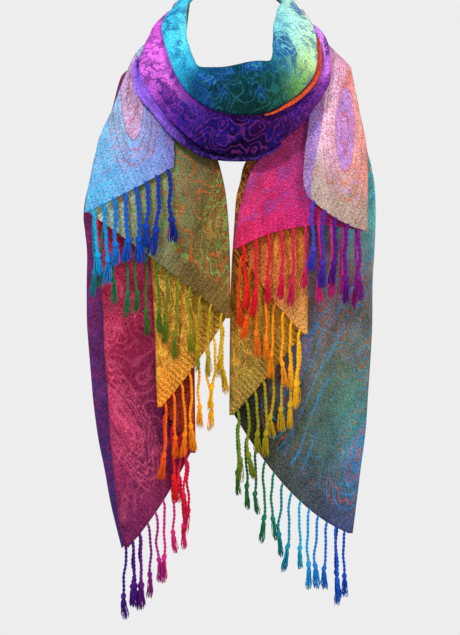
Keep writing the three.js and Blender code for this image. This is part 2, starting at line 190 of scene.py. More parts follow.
FOLDS: dict[Side, tuple[Fold, ...]] = {
    Side.LEFT: (
        Fold(-82, ((-90, 63), (-81.3, 84), (-77.5, 117.5), (-78.7, 136))),
        Fold(-121, ((-128, 15), (-148.6, 44.5), (-166.4, 76), (-174, 96.5), (-180.3, 124.5),
                    (-184.7, 145), (-190.5, 173), (-193, 193))),
        Fold(-66, ((-63.5, 41), (-35.6, 91), (-21.6, 127), (-15.2, 152), (-11.4, 178), (-8.5, 215),
                   (-7.2, 252), (-6.3, 328))),
        Fold(-108, ((-113, 38), (-111.8, 114), (-109.2, 229), (-103.4, 349), (-102, 404), (-100.3, 441))),
        Fold(-74, ((-71, 38), (-61, 102), (-54.6, 203), (-52, 305), (-52, 397), (-50.8, 499))),
        Fold(-116, ((-129.5, 25), (-156, 82), (-172.7, 152), (-179, 216), (-169.5, 307), (-168, 363),
                    (-165, 404), (-162.6, 438), (-160, 483), (-155, 530), (-149, 586), (-142, 619))),
        Fold(-92, ((-109, 38), (-124.5, 114), (-132, 216), (-128, 343), (-124.5, 457), (-120, 560),
                   (-118, 598))),
        Fold(-129, ((-139.7, 9), (-149.5, 28), (-157, 47), (-167.5, 74), (-176.5, 99), (-184, 127),
                    (-191.5, 163), (-194.5, 194), (-192.5, 213), (-190, 240), (-190.5, 292), (-190, 335),
                    (-188, 363), (-184.7, 404), (-181.6, 438), (-175.3, 483), (-168, 519), (-160, 563),
                    (-146, 620))),
    ),
    Side.RIGHT: (
        Fold(78, ((92.7, 56), (90.9, 84), (86.4, 119), (85, 157), (90.2, 173))),
        Fold(146, ((147.3, 15), (151.8, 33), (158.8, 62), (165, 99), (167.6, 127), (167.6, 217))),
        Fold(70, ((68.6, 44.5), (55.9, 82.5), (36.8, 116.8), (22.9, 130), (15.2, 146), (8.9, 168),
                  (1.9, 197), (-3.8, 239))),
        Fold(112, ((113, 44.5), (104, 114), (96.5, 178), (92.7, 229), (92, 305), (91.4, 348))),
        Fold(66, ((59.7, 44.5), (25.4, 102), (9.5, 127), (5, 146), (0, 169), (-2.6, 207), (-5.5, 252),
                  (-7.5, 305), (-8.4, 368), (-8.9, 451))),
        Fold(144, ((148.6, 32), (156, 63.5), (161, 84), (166.4, 105), (172.7, 127), (176.5, 149),
                   (177.8, 193), (176.5, 236), (174, 281), (173.4, 339), (171, 383), (168, 427), (165, 471),
                   (158.8, 519), (153.7, 561), (148.6, 601))),
        Fold(118, ((119.4, 44.5), (129.5, 140), (134.6, 241), (129.5, 432), (124.5, 521), (119.4, 569))),
    ),
}

STRETCHES: dict[Side, tuple[Stretch, ...]] = {
    Side.LEFT: (
        Stretch("left_fold_1", 0, 1, 0, True, 1, 8, 2.3, (0.0, 0.167), 0.25,
                DyeAndShade(((0, "#656cb5"), (0.35, "#6894d0"), (0.7, "#4ba3d6"), (1, "#3daad8")),
                    ((0, "#8380c0"), (0.35, "#9eb4e0"), (0.6, "#9acde7"), (1, "#56b8e5")),
                    (0.03, 0.14), "#a29bcb", 0.15, "#ad2b42", "#b884aa", "#c79bbc",
                    fill=0.75, shift=0.0153, lean=0.4, pattern=0.85, curls=0.2)),
        # Higher up, the ground is brighter at its last edge: a painted highlight along the fold.
        Stretch("left_fold_2", 1, 2, 1, True, -3, 13, 1.5, (0.2, 0.467), 0.6,
                DyeAndShade(((0, "#c7e2cf"), (0.3, "#8b9e78"), (0.65, "#5a4b2c"), (1, "#6d5229")),
                    ((0, "#4c6c45"), (0.3, "#41572c"), (0.65, "#483d23"), (1, "#936c37")),
                    (0.04, 0.2), "#8d4020", 0.2, "#a65327", "#689f4f", "#6e482a",
                    fill=0.4, pattern=0.4, curls=0.75, pucker=0.13)),
        Stretch("left_fold_3", 2, 3, 2, True, 6, 8, 1.6, (0.467, 0.66), 0.8,
                DyeAndShade(((0, "#896d23"), (0.5, "#cf892f"), (1, "#e77f27")),
                    ((0, "#6a531d"), (0.5, "#a68136"), (1, "#bb742e")),
                    (0.05, 0.25), "#552c14", 0.3, "#6d3c18", "#f6c951", "#8d5b24",
                    fill=0.3, pattern=0.3, curls=0.5, pucker=0.26)),
        Stretch("left_fold_4", 3, 4, 3, True, 0, 4, 1.6, (0.66, 0.762), 0.8,
                DyeAndShade(((0, "#8a2a26"), (1, "#8d2f26")),
                    ((0, "#9c432c"), (1, "#843326")),
                    (0.05, 0.2), "#451a16", 0.3, "#551d16", "#e26938", "#69261d",
                    fill=0.3, pattern=0.3, curls=0.4)),
        # Higher up, the ground is darker at both fold edges than in the middle: painted shade of its rounded
        # fold and painted shadow of the stretch in front.
        Stretch("left_fold_5", 4, 5, 4, True, 9, 8, 1.6, (0.762, 0.95), 0.9,
                DyeAndShade(((0, "#4c1840"), (0.5, "#7a2450"), (1, "#501848")),
                    ((0, "#c7203f"), (0.3, "#dd2959"), (0.6, "#f73a6f"), (0.9, "#d42959"), (1, "#9b204c")),
                    (0.05, 0.3), "#863350", 0.14, "#f76d93", "#da5471", "#b93361",
                    fill=0.35, pattern=0.45, curls=0.2)),
        Stretch("left_fold_6", 6, 7, 5.8, False, 0, 3, 1.7, (0.93, 0.955), 0.4,
                DyeAndShade(((0, "#4f2c68"), (1, "#4f2c68")),
                    ((0, "#821d45"), (1, "#821f49")),
                    (0.1, 0.35), "#422d6b", 0.25, "#8e2d63", "#36428e", "#4c215f",
                    fill=0.4, pattern=0.3, curls=0.4)),
    ),
    Side.RIGHT: (
        Stretch("right_fold_1", 0, 1, 0, True, 6, 5, 2.2, (1.0, 0.889), 0.3,
                DyeAndShade(((0, "#7e65a6"), (0.07, "#866cae"), (0.1, "#a6948d"), (0.4, "#a69182"), (1, "#988270")),
                    ((0, "#8b6dbc"), (0.07, "#8f70c0"), (0.1, "#e2bccf"), (0.4, "#cf9ab8"),
                     (0.7, "#d6927c"), (1, "#cf744b")),
                    (0.03, 0.07), "#d6a69e", 0.15, "#c0542f", "#aa7dbc", "#9b6ec3",
                    fill=0.8, shift=0.0093, lean=0.57, pattern=0.85, curls=0.3)),
        # Higher up, the ground is darker and more purple: partly its own purple, partly painted shadow of
        # the stretch in front and of the neck band.
        Stretch("right_fold_2", 1, 2, 1, True, -17, 10, 1.7, (0.889, 0.69), 0.6,
                DyeAndShade(((0, "#80226a"), (0.35, "#ab226a"), (0.7, "#bd1f58"), (1, "#c02246")),
                    ((0, "#67204d"), (0.4, "#79285c"), (0.75, "#a22854"), (1, "#902f3e")),
                    (0.03, 0.09), "#cf447b", 0.16, "#77408d", "#944089", "#86397e",
                    fill=0.6, pattern=0.6, curls=0.5)),
        # Higher up, the ground is dark at its first edge: partly the redder warp there, partly painted
        # shadow of the hem in front.
        Stretch("right_fold_3", 2, 3, 2, True, 8, 8, 1.6, (0.68, 0.50), 0.7,
                DyeAndShade(((0, "#983d23"), (0.5, "#cb713d"), (1, "#cb9853")),
                    ((0, "#64231b"), (0.5, "#c36230"), (1, "#dc7e35")),
                    (0.03, 0.1), "#5b351f", 0.26, "#ad511f", "#f79c3d", "#b6571f",
                    fill=0.35, pattern=0.4, curls=0.5, pucker=0.14)),
        Stretch("right_fold_4", 3, 4, 3, True, 2, 8, 1.8, (0.50, 0.36), 0.8,
                DyeAndShade(((0, "#b98429"), (0.5, "#9a8036"), (1, "#897336")),
                    ((0, "#6f291c"), (0.25, "#8e4820"), (0.5, "#b16f29"), (1, "#a47c20")),
                    (0.05, 0.11), "#473612", 0.32, "#5d4712", "#eea33f", "#896420",
                    fill=0.3, pattern=0.3, curls=0.5, pucker=0.26)),
        # By the hem, the ground is nearly black at its first edge: painted shade along the fold under the
        # stretch in front.
        Stretch("right_fold_5", 4, 5, 4, True, 24, 13, 1.6, (0.33, 0.056), 1.0,
                DyeAndShade(((0, "#19190a"), (0.2, "#2c301c"), (0.45, "#374343"), (0.7, "#374352"), (1, "#37467b")),
                    ((0, "#6f5652"), (0.08, "#5e5a4a"), (0.3, "#4e6656"), (0.6, "#3e837b"), (1, "#42a0c0")),
                    (0.03, 0.12), "#2b695d", 0.2, "#2784bf", "#ab4e36", "#2b6db3",
                    fill=0.5, pattern=0.75, curls=0.16, streaks=0.75, crown="#4ec0b8")),
        Stretch("right_fold_6", 5, 6, 5, False, 0, 1, 1.6, (0.056, 0.0), 0.8,
                DyeAndShade(((0, "#3484b6"), (1, "#45a7c7")),
                    ((0, "#6dc8cc"), (1, "#72ccc8")),
                    (0.1, 0.3), "#357ad9", 0.2, "#2c60dd", "#7ae1c7", "#347abf",
                    fill=0.4, pattern=0.5, curls=0.5, crown="#4fd5c4")),
    ),
}


# Helpers.
def eased(rows: Sequence[tuple[float, float]], at: np.ndarray | float) -> np.ndarray:
    """Reads a table of (at, value) rows with no steps in its slope.

    Args:
        rows: The table, rising in its first column.
        at: Where to read it.

    Returns:
        The values, as an array of the same shape.
    """
    xs = np.array([r[0] for r in rows], float)
    ys = np.array([r[1] for r in rows], float)
    slopes = np.empty_like(xs)
    slopes[1:-1] = (ys[2:] - ys[:-2]) / (xs[2:] - xs[:-2])
    slopes[0] = (ys[1] - ys[0]) / (xs[1] - xs[0])
    slopes[-1] = (ys[-1] - ys[-2]) / (xs[-1] - xs[-2])
    a = np.clip(np.asarray(at, float), xs[0], xs[-1])
    i = np.clip(np.searchsorted(xs, a) - 1, 0, len(xs) - 2)
    h = xs[i + 1] - xs[i]
    t = (a - xs[i]) / h
    return (ys[i] * (1 + 2 * t) * (1 - t) ** 2 + h * slopes[i] * t * (1 - t) ** 2
            + ys[i + 1] * t * t * (3 - 2 * t) + h * slopes[i + 1] * t * t * (t - 1))


def smoothstep(x: np.ndarray | float, low: float, high: float) -> np.ndarray:
    """Eases from 0 at low to 1 at high.

    Args:
        x: Where to read it.
        low: Where it leaves 0.
        high: Where it reaches 1.

    Returns:
        The eased values.
    """
    t = np.clip((np.asarray(x, float) - low) / (high - low), 0, 1)
    return t * t * (3 - 2 * t)


def seen(points: np.ndarray) -> np.ndarray:
    """Scales points about the eye line, because the outlines were read on one plane.

    Args:
        points: Points in mm, in the last axis.

    Returns:
        The points in their real places.
    """
    out = np.array(points, float)
    k = (EYE_FAR_MM + out[..., 1] - EYE_PLANE_MM) / EYE_FAR_MM
    out[..., 0] = EYE_X_MM + (out[..., 0] - EYE_X_MM) * k
    out[..., 2] = EYE_Z_MM + (out[..., 2] - EYE_Z_MM) * k
    return out


def linear(code: str) -> tuple[float, float, float, float]:
    """Turns a hex sRGB colour into linear light.

    Args:
        code: The colour, as #rrggbb.

    Returns:
        Red, green, blue and alpha.
    """
    values = [int(code[i:i + 2], 16) / 255 for i in (1, 3, 5)]
    light = [v / 12.92 if v <= 0.04045 else ((v + 0.055) / 1.055) ** 2.4 for v in values]
    return (light[0], light[1], light[2], 1.0)


def between(four: Sequence[np.ndarray], t: float) -> np.ndarray:
    """Reads a smooth curve through four points.

    Args:
        four: The points.
        t: How far from the second (0) to the third (1).

    Returns:
        The point there.
    """
    p0, p1, p2, p3 = four
    return 0.5 * (2 * p1 + (p2 - p0) * t + (2 * p0 - 5 * p1 + 4 * p2 - p3) * t * t
                  + (3 * p1 - p0 - 3 * p2 + p3) * t ** 3)


def lengths(line: np.ndarray) -> np.ndarray:
    """Length along a line of points, at each of them."""
    return np.concatenate([[0], np.cumsum(np.linalg.norm(np.diff(line, axis=0), axis=1))])


# Shape of the hanging ends.
def fold_line(fold: Fold, t: np.ndarray) -> tuple[np.ndarray, np.ndarray]:
    """Follows a fold line from behind the neck (0) to the hem (1).

    Args:
        fold: The fold line.
        t: How far along, 0 to 1, of which SHOULDER_SHARE lies above the shoulder.

    Returns:
        Across and down, in mm.
    """
    sign = math.copysign(1, fold.ridge)
    wide = abs(fold.ridge) - 66
    rows = [(-105.0, sign * (56 + wide * 0.25)), (-50.0, sign * (62 + wide * 0.58)), (0.0, fold.ridge),
            *((down, x) for x, down in fold.line)]
    hem = rows[-1][0]
    share = SHOULDER_SHARE
    down = np.where(t < share, BEHIND_MM + (SHOULDER_MM - BEHIND_MM) * t / share,
                    SHOULDER_MM + (hem - SHOULDER_MM) * (t - share) / (1 - share))
    return eased(rows, down), down


@dataclass
class ClothGrid:
    """Points of a cloth stretch with their places in the flat cloth.

    Attributes:
        points: Rows and columns of points, in mm.
        flat: Places in the flat cloth, in metres: across from the first selvedge, up from the hem.
        dye: Place between the fold lines, 0 to 1, and height above the hem.
    """

    points: np.ndarray
    flat: np.ndarray
    dye: np.ndarray


# Shape of the neck loop.
LOOP_START = 10.0
# Each row gives the inner rim, the lower edge of the roll, how far the roll swells, and the lower edge of
# the band, all in mm.
LOOP = np.array((
    (0, -88, -7, 0, -112, -67, 13, 0, -112, -118),
    (-27, -86, -9.5, -30, -110, -60, 13, -41, -110, -110.5),
    (-47, -78, -9, -58, -100, -42, 12, -81, -98, -77.5),
    (-56, -62, 6, -76, -84, -14, 10, -110.5, -78, -38),
    (-62, -42, 28, -88, -60, 19, 9, -123, -48, -1),
    (-63.5, -15, 51, -93, -28, 48, 9, -107, -12, 27),
    (-61, 12, 72, -77, 4, 70, 7, -84, 20, 50),
    (-50, 41, 102, -62, 37, 88, 7, -66, 48.6, 74),
    (-26, 60, 126, -38, 64, 104, 9, -40, 74, 86),
    (0, 68, 134, 0, 74, 108, 10, 0, 84, 90),
    (28, 60, 124, 38, 64, 104, 9, 42, 74, 86),
    (50, 43, 102, 62, 39.4, 87, 7, 68.4, 51.5, 66),
    (60, 20, 78, 78, 12, 66, 7, 89, 26, 44),
    (53, 0, 64, 97, -12, 46, 10, 108, 4, 30),
    (48, -20, 46, 103, -38, 14, 12, 119, -22, 9),
    (47, -40, 28, 100, -62, -15, 14, 119.6, -49.4, -23.4),
    (48, -60, 12, 85, -84, -36, 14, 106, -82, -50),
    (42, -78, -1, 65, -102, -52, 13, 78, -103, -86),
    (23, -86, -1, 36, -110, -66, 13, 38, -112, -113),
), float)
# Places round the loop, each with the lower edge of the lowest band there, in mm.
LOW_BAND = (
    (4.35, -128, -50, -1), (3.9, -132, -54, -14), (3.3, -126, -72, -42), (2.7, -106, -85, -66),
    (2, -84, -98, -94), (1.5, -62, -105, -111), (1, -42, -108, -122), (0, 2, -110, -128),
    (-0.8, 34, -110, -123), (-1.6, 62, -106, -106),
)


@dataclass(frozen=True)
class Station:
    """The neck loop at one place round it: inner rim, lower edge of the roll and of the band."""

    top: np.ndarray
    edge: np.ndarray
    swell: float
    lower: np.ndarray


def station(at: float) -> Station:
    """Reads the loop table by a closed spline.

    Args:
        at: Place round the loop in rows of the table, 0 at the front.

    Returns:
        The station there.
    """
    i = math.floor(at)
    row = between([LOOP[(i + k) % len(LOOP)] for k in (-1, 0, 1, 2)], at - i)
    return Station(row[0:3], row[3:6], float(row[6]), row[7:10])


@dataclass(frozen=True)
class LoopFrame:
    """Directions at a station: down the cloth and out of it, and the length between its two points."""

    down: np.ndarray
    out: np.ndarray
    length: float

    def off(self, point: np.ndarray, down: float, out: float) -> np.ndarray:
        """Moves a point down the cloth and out of it.

        Args:
            point: The point, in mm.
            down: Way down the cloth, in mm.
            out: Way out of the cloth, in mm.

        Returns:
            The moved point.
        """
        return point + self.down * down + self.out * out


def loop_frame(at: float, first: str, second: str) -> LoopFrame:
    """Works out the directions between two named points of the stations.

    Args:
        at: Place round the loop.
        first: Name of the upper point.
        second: Name of the lower point.

    Returns:
        The frame there.
    """
    here = station(at)
    down = getattr(here, second) - getattr(here, first)
    length = float(np.linalg.norm(down))
    down = down / length
    way = getattr(station(at + 0.2), second) - getattr(station(at - 0.2), second)
    out = np.cross(way, down)
    return LoopFrame(down, out / np.linalg.norm(out), length)


def roll_across(at: float) -> list[np.ndarray]:
    """Points across the upper roll, from its inner flank to where it turns under.

    Args:
        at: Place round the loop.

    Returns:
        The points, in mm.
    """
    s = station(at)
    f = loop_frame(at, "top", "edge")
    line = [f.off(s.top, 11, -13), f.off(s.top, 4, -9), f.off(s.top, 0.6, -4)]
    for t in (0.04, 0.22, 0.45, 0.7, 0.9):
        line.append(f.off(s.top, f.length * t, s.swell * math.sin(math.pi * (0.12 + 0.88 * t)) - 0.5))
    return line + [f.off(s.edge, 0, -1.5), f.off(s.edge, -0.3, -4), f.off(s.edge, -0.4, -6 + SEAM_MM / 2)]


def band_across(at: float) -> list[np.ndarray]:
    """Points across the middle band, from the seam behind the roll to its lower edge.

    Args:
        at: Place round the loop.

    Returns:
        The points, in mm.
    """
    s = station(at)
    roll = loop_frame(at, "top", "edge")
    f = loop_frame(at, "edge", "lower")
    start = roll.off(s.edge, 6, -10.4)
    line = [roll.off(s.edge, -0.4, -6 - SEAM_MM), roll.off(s.edge, -0.5, -7.6), roll.off(s.edge, 1.6, -9.8),
            start]
    for t in (0.3, 0.6, 0.85):
        line.append(start + (s.lower - start) * t + f.out * 5 * math.sin(math.pi * t))
    return line + [s.lower.copy(), f.off(s.lower, 0.2, -3), f.off(s.lower, 0.3, -5 + SEAM_MM / 2)]


def red_across(at: float) -> list[np.ndarray]:
    """Points across the thin red edge between the roll and the band.

    Args:
        at: Place round the loop.

    Returns:
        The points, in mm.
    """
    s = station(at)
    f = loop_frame(at, "top", "edge")
    t = (at + 5.5) / 4.5
    show = 1.5 + 4.5 * math.sin(math.pi * min(max(t, 0), 1)) ** 0.6
    return [f.off(s.edge, 2.6, -5.2), f.off(s.edge, 2.8, -3), f.off(s.edge, 2.5 + show * 0.5, -1.2),
            f.off(s.edge, 2.5 + show, -1.4)]


def low_across(at: float) -> list[np.ndarray]:
    """Points across the narrow lowest band.

    Args:
        at: Place round the loop.

    Returns:
        The points, in mm.
    """
    s = station(at)
    f = loop_frame(at, "edge", "lower")
    lower = np.array([float(eased([(-row[0], row[c]) for row in LOW_BAND], -at)) for c in (1, 2, 3)])
    start = f.off(s.lower, 3.6, -8.8)
    return [f.off(s.lower, 0.3, -5 - SEAM_MM), f.off(s.lower, 0.2, -6.6), f.off(s.lower, 1.6, -8.4), start,
            start + (lower - start) * 0.55 + f.out * 2, lower, f.off(lower, 0.2, -5)]


def resampled(line: Sequence[np.ndarray], count: int) -> np.ndarray:
    """Runs a smooth curve through points, evenly by length.

    Args:
        line: The points.
        count: How many points to return.

    Returns:
        The even points.
    """
    p = np.array(line)
    ends = np.concatenate([[2 * p[0] - p[1]], p, [2 * p[-1] - p[-2]]])
    fine = []
    for i in range(len(p) - 1):
        for t in np.linspace(0, 1, 9)[:-1]:
            fine.append(between(ends[i:i + 4], t))
    fine.append(p[-1])
    curve = np.array(fine)
    way = lengths(curve)
    even = np.linspace(0, way[-1], count)
    return np.stack([np.interp(even, way, curve[:, k]) for k in range(3)], axis=-1)


@dataclass(frozen=True)
class Crease:
    """A long soft fold of the neck cloth.

    Attributes:
        middle: Where it starts across the cloth, 0 to 1.
        drift: How far it moves across per row of the loop table.
        width: Its half width across, 0 to 1.
        height: How far it stands out, in mm; negative is a groove.
        first: Place round the loop where it starts.
        last: Place where it ends.
    """

    middle: float
    drift: float
    width: float
    height: float
    first: float
    last: float


@dataclass(frozen=True)
class Ring:
    """A stretch of cloth round the neck.

    Attributes:
        name: Name of the CAD node.
        across: Points across it at a place round the loop.
        first: Where it starts round the loop, in table rows.
        last: Where it ends; equal to first plus the whole loop for a closed ring.
        creases: Its long folds.
        columns: Columns across.
    """

    name: str
    across: Callable[[float], list[np.ndarray]]
    first: float
    last: float
    creases: tuple[Crease, ...] = ()
    columns: int = 44

    @property
    def closed(self) -> bool:
        """Whether it runs the whole way round."""
        return abs(abs(self.last - self.first) - len(LOOP)) < 1e-6

    def grid(self, steps: int = 260) -> ClothGrid:
        """Works out its points.

        Args:
            steps: Steps round the loop.

        Returns:
            The grid; its dye is the place round the loop and across it.
        """
        places = np.linspace(self.first, self.last, steps)
        points = np.array([resampled(self.across(float(a)), self.columns) for a in places])
        c = np.linspace(0, 1, self.columns)[None, :]
        a = places[:, None]
        normal = np.cross(np.gradient(points, axis=1), np.gradient(points, axis=0))
        normal /= np.maximum(np.linalg.norm(normal, axis=-1, keepdims=True), 1e-9)
        if normal[np.argmin(np.abs(places)), self.columns // 2, 1] > 0:
            normal = -normal
        lift = np.zeros(points.shape[:2])
        for crease in self.creases:
            starts = smoothstep(a, crease.first, crease.first + 1.2)
            ends = starts * (1 - smoothstep(a, crease.last - 1.2, crease.last))
            away = (c - crease.middle - crease.drift * (a - crease.first)) / crease.width
            lift = lift + crease.height * np.exp(-away ** 2) * ends
        lift += 0.5 * np.sin(a * 2.1 + c * 9) + 0.35 * np.sin(a * 4.3 - c * 17)
        lift *= smoothstep(c, 0.03, 0.16) * (1 - smoothstep(c, 0.8, 0.95))
        points = points + normal * lift[..., None]
        long = lengths(points[:, self.columns // 2])[:, None]
        wide = np.linalg.norm(np.diff(points, axis=1), axis=2).sum(axis=1).mean()
        flat = np.stack(np.broadcast_arrays(c * wide * MM, long * MM), axis=-1)
        dye = np.stack(np.broadcast_arrays((a + LOOP_START) / len(LOOP), c), axis=-1)
        return ClothGrid(seen(points), flat, dye)


RINGS: tuple[Ring, ...] = (
    Ring("neck_roll_upper", roll_across, -LOOP_START, len(LOOP) - LOOP_START, (
        Crease(0.52, 0.012, 0.05, 2.6, -4.5, 4.0), Crease(0.40, -0.01, 0.035, -3.0, -3.5, 3.6),
        Crease(0.66, 0.01, 0.05, -2.0, -3.0, 2.4), Crease(0.38, 0.03, 0.06, 3.0, -5.2, -1.2),
        Crease(0.62, 0.035, 0.045, -2.6, -5.2, -1.0), Crease(0.50, 0.0, 0.06, 1.6, 2.0, 7.0),
    )),
    Ring("neck_band_middle", band_across, -LOOP_START, len(LOOP) - LOOP_START, (
        Crease(0.45, 0.02, 0.05, -2.8, -4.6, -0.6), Crease(0.62, 0.0, 0.05, 2.2, -3.0, 3.4),
        Crease(0.50, -0.01, 0.045, -2.6, 0.8, 5.4),
    )),
    Ring("neck_layer_red", red_across, -5.5, -1.0, (), 12),
    Ring("neck_band_lower", low_across, -1.5, 4.5, (), 22),
)


# Materials.
class Graph:
    """A node tree that grows by one call a node."""

    def __init__(self, tree: bpy.types.NodeTree) -> None:
        """Starts from an empty tree.

        Args:
            tree: The material's or the world's node tree.
        """
        self.tree = tree
        tree.nodes.clear()

    def add(self, kind: str, *values: object, **named: object) -> Socket | None:
        """Adds a node with its settings and links.

        Args:
            kind: Its type, and after a colon the operation of a math node.
            *values: What its open inputs take, in order: a socket, a number, a vector or a colour.
            **named: Its properties, and inputs by their names with underscores; stops are the places
                and colours of a ramp.

        Returns:
            Its first open output, if it has any.
        """
        kind, _, operation = kind.partition(":")
        made = self.tree.nodes.new("ShaderNode" + kind)
        if operation:
            made.operation = operation
        chosen: list[tuple[Socket, object]] = []
        for name, value in named.items():
            label = name.replace("_", " ")
            if name == "stops":
                elements = made.color_ramp.elements
                elements.remove(elements[-1])
                elements[0].position, elements[0].color = value[0][0], linear(value[0][1])
                for place, code in value[1:]:
                    elements.new(place).color = linear(code)
            elif label in made.inputs:
                chosen.append((made.inputs[label], value))
            else:
                setattr(made, name, value)
        for socket, value in [*zip((s for s in made.inputs if s.enabled), values), *chosen]:
            if isinstance(value, Socket):
                self.tree.links.new(value, socket)
            else:
                socket.default_value = value
        return next((s for s in made.outputs if s.enabled), None)

    def near(self, value: object, middle: float, half: float) -> Socket:
        """1 where a value is at middle, easing to 0 at half away.

        Args:
            value: The value.
            middle: Where the line is.
            half: Its half width.

        Returns:
            The line's strength.
        """
        away = self.add("Math:ABSOLUTE", self.add("Math:SUBTRACT", value, middle))
        return self.add("Math:SUBTRACT", 1.0, self.add("Math:DIVIDE", away, half), use_clamp=True)

    def most(self, *values: Socket) -> Socket:
        """The largest of several values.

        Args:
            *values: The values.

        Returns:
            The largest.
        """
        out = values[0]
        for value in values[1:]:
            out = self.add("Math:MAXIMUM", out, value)
        return out


def cells(across: float, along: float) -> Triple:
    """Scales places in metres so that one unit is a cell of this size, in mm."""
    return (1 / (across * MM), 1 / (along * MM), 1.0)


@dataclass(frozen=True)
class Boteh:
    """Sizes of a row of drop-shaped figures with a bent tip, in metres of flat cloth.

    Attributes:
        pitch: Distance from one to the next.
        half: Half its width.
        foot: Height of its round foot above the hem.
        tall: Its height.
        curl: How far the tip bends over, in half widths.
    """

    pitch: float
    half: float
    foot: float
    tall: float
    curl: float


@dataclass(frozen=True)
class Figure:
    """Sockets of a drawn row of figures, 0 to 1 each."""

    outline: Socket
    fine: Socket
    inside: Socket


# Sizes of the unevenness of the yarn, in mm across and along the cloth. The real threads lie about 0.3 mm
# apart, which is too fine to show at the picture's size, so they are drawn coarser.
SPECK_MM = (1.43, 1.61)
OTHER_SPECK_MM = (1.67, 1.28)
DASH_MM = (1.28, 2.38)
WEFT_MM = (5.6, 1.16)
SLUB_MM = (16.7, 26.3)
BROKEN_LINE_MM = (2.38, 2.38)
FIBRE_MM = (3.85, 2.0)
# Sizes of the drifts of colour and of the curling lines, in mm.
DYE_DRIFT_MM, NECK_DRIFT_MM = 71.4, 83.3
CURL_MM, WIDE_CURL_MM, FIGURE_CURL_MM, HAIR_CURL_MM = 41.7, (52.6, 65.8), 29.4, 26.3
CURL_PATCH_MM, SPRIG_PATCH_MM, RAGGED_MM = 76.9, 41.7, 16.7
STREAK_MM, STREAK_BEND_MM, STREAK_PATCH_MM = 17.0, 111.0, (62.5, 143.0)
SPRIG_MM = 21.7
PUCKER_MM, PUCKER_WAVER_MM = 6.2, 22.2
BORDER_BOTEH = Boteh(0.130, 0.0150, 0.054, 0.092, 0.30)
FIELD_BOTEH = Boteh(0.044, 0.011, 0.006, 0.046, 0.7)
PLAIN_HEM_M, HEM_BLEND_M = 0.020, 0.008
BORDER_TOP_M = 0.160
FIELD_PITCH_M = 0.056
CROWN_M, CROWN_BLEND_M = 0.235, 0.07
# How sharply a speck of the crossing thread stands out from the ground.
SPECK_EDGE = 8.0


def boteh_figure(g: Graph, across: object, up: object, size: Boteh) -> Figure:
    """Draws one row of figures: nested outlines, scallops round the rim and a flower inside.

    Args:
        g: The node tree.
        across: Distance across the cloth, in metres.
        up: Height above the row's base, in metres.
        size: Sizes of the figure.

    Returns:
        Its lines and its inside.
    """
    cell = g.add("Math:SUBTRACT", g.add("Math:FRACT", g.add("Math:DIVIDE", across, size.pitch)), 0.5)
    x = g.add("Math:MULTIPLY", cell, size.pitch / size.half)
    t = g.add("Math:DIVIDE", g.add("Math:SUBTRACT", up, size.foot), size.tall)
    within = g.add("Math:MULTIPLY", g.add("Math:GREATER_THAN", t, -0.8), g.add("Math:LESS_THAN", t, 1.15))
    bend = g.add("Math:MULTIPLY", g.add("Math:POWER", g.add("Math:MAXIMUM", t, 0.0), 3.0), size.curl)
    rest = g.add("Math:MAXIMUM", g.add("Math:SUBTRACT", 1.0, t), 0.0)
    width = g.add("Math:MULTIPLY", g.add("Math:MULTIPLY", t, g.add("Math:POWER", rest, 1.35)), 4.95)
    dx = g.add("Math:SUBTRACT", x, bend)
    f = g.add("Math:SUBTRACT", g.add("Math:MULTIPLY", dx, dx), width)
    # Angle round the middle of the belly, for scallops and petals.
    dy = g.add("Math:MULTIPLY", g.add("Math:SUBTRACT", t, 0.4), size.tall / size.half)
    angle = g.add("Math:ARCTAN2", dy, dx)
    comb = g.add("Math:MULTIPLY", g.add("Math:SINE", g.add("Math:MULTIPLY", angle, 24.0)), 0.09)
    petals = g.add("Math:MULTIPLY", g.add("Math:SINE", g.add("Math:MULTIPLY", angle, 6.0)), 0.08)
    # The rim is where f is 0; less is within the figure, more is outside it.
    outline = g.most(g.near(f, 0.0, 0.14), g.near(g.add("Math:ADD", f, comb), 0.75, 0.16),
                     g.near(f, 2.3, 0.3), g.near(f, 4.2, 0.34),
                     g.near(g.add("Math:ADD", f, petals), -0.8, 0.1))
    fine = g.most(g.near(g.add("Math:ADD", f, comb), -0.24, 0.09), g.near(f, -0.46, 0.07),
                  g.near(g.add("Math:ADD", f, g.add("Math:MULTIPLY", comb, 3.0)), 1.4, 0.22),
                  g.near(g.add("Math:ADD", f, petals), -0.64, 0.06), g.near(f, -0.97, 0.05),
                  g.near(g.add("Math:ADD", f, g.add("Math:MULTIPLY", comb, 4.0)), 3.2, 0.3))
    inside = g.add("Math:MULTIPLY", f, -9.0, use_clamp=True)
    return Figure(g.add("Math:MULTIPLY", outline, within), g.add("Math:MULTIPLY", fine, within),
                  g.add("Math:MULTIPLY", inside, within))


def sprigs(g: Graph, place: object, scale: Triple, petals: float) -> Socket:
    """Scatters small rosettes joined by curling stems.

    Args:
        g: The node tree.
        place: Place on the flat cloth.
        scale: Scales that make the distance between rosettes one unit.
        petals: Petals of each.

    Returns:
        The lines, 0 to 1.
    """
    scaled = g.add("VectorMath:MULTIPLY", place, scale)
    middle = g.add("TexVoronoi", scaled, voronoi_dimensions="2D", Scale=1.0, Randomness=0.75)
    offset = g.add("VectorMath:SUBTRACT", scaled, middle.node.outputs["Position"])
    x, y, _ = g.add("SeparateXYZ", offset).node.outputs
    angle = g.add("Math:ARCTAN2", y, x)
    petal = g.add("Math:MULTIPLY", g.add("Math:COSINE", g.add("Math:MULTIPLY", angle, petals)), 0.07)
    far = g.add("Math:ADD", middle, petal)
    stems = g.add("TexNoise", scaled, 1.5, 1.5, 0.4)
    return g.most(g.near(far, 0.22, 0.09), g.near(far, 0.06, 0.09), g.near(stems, 0.5, 0.05))


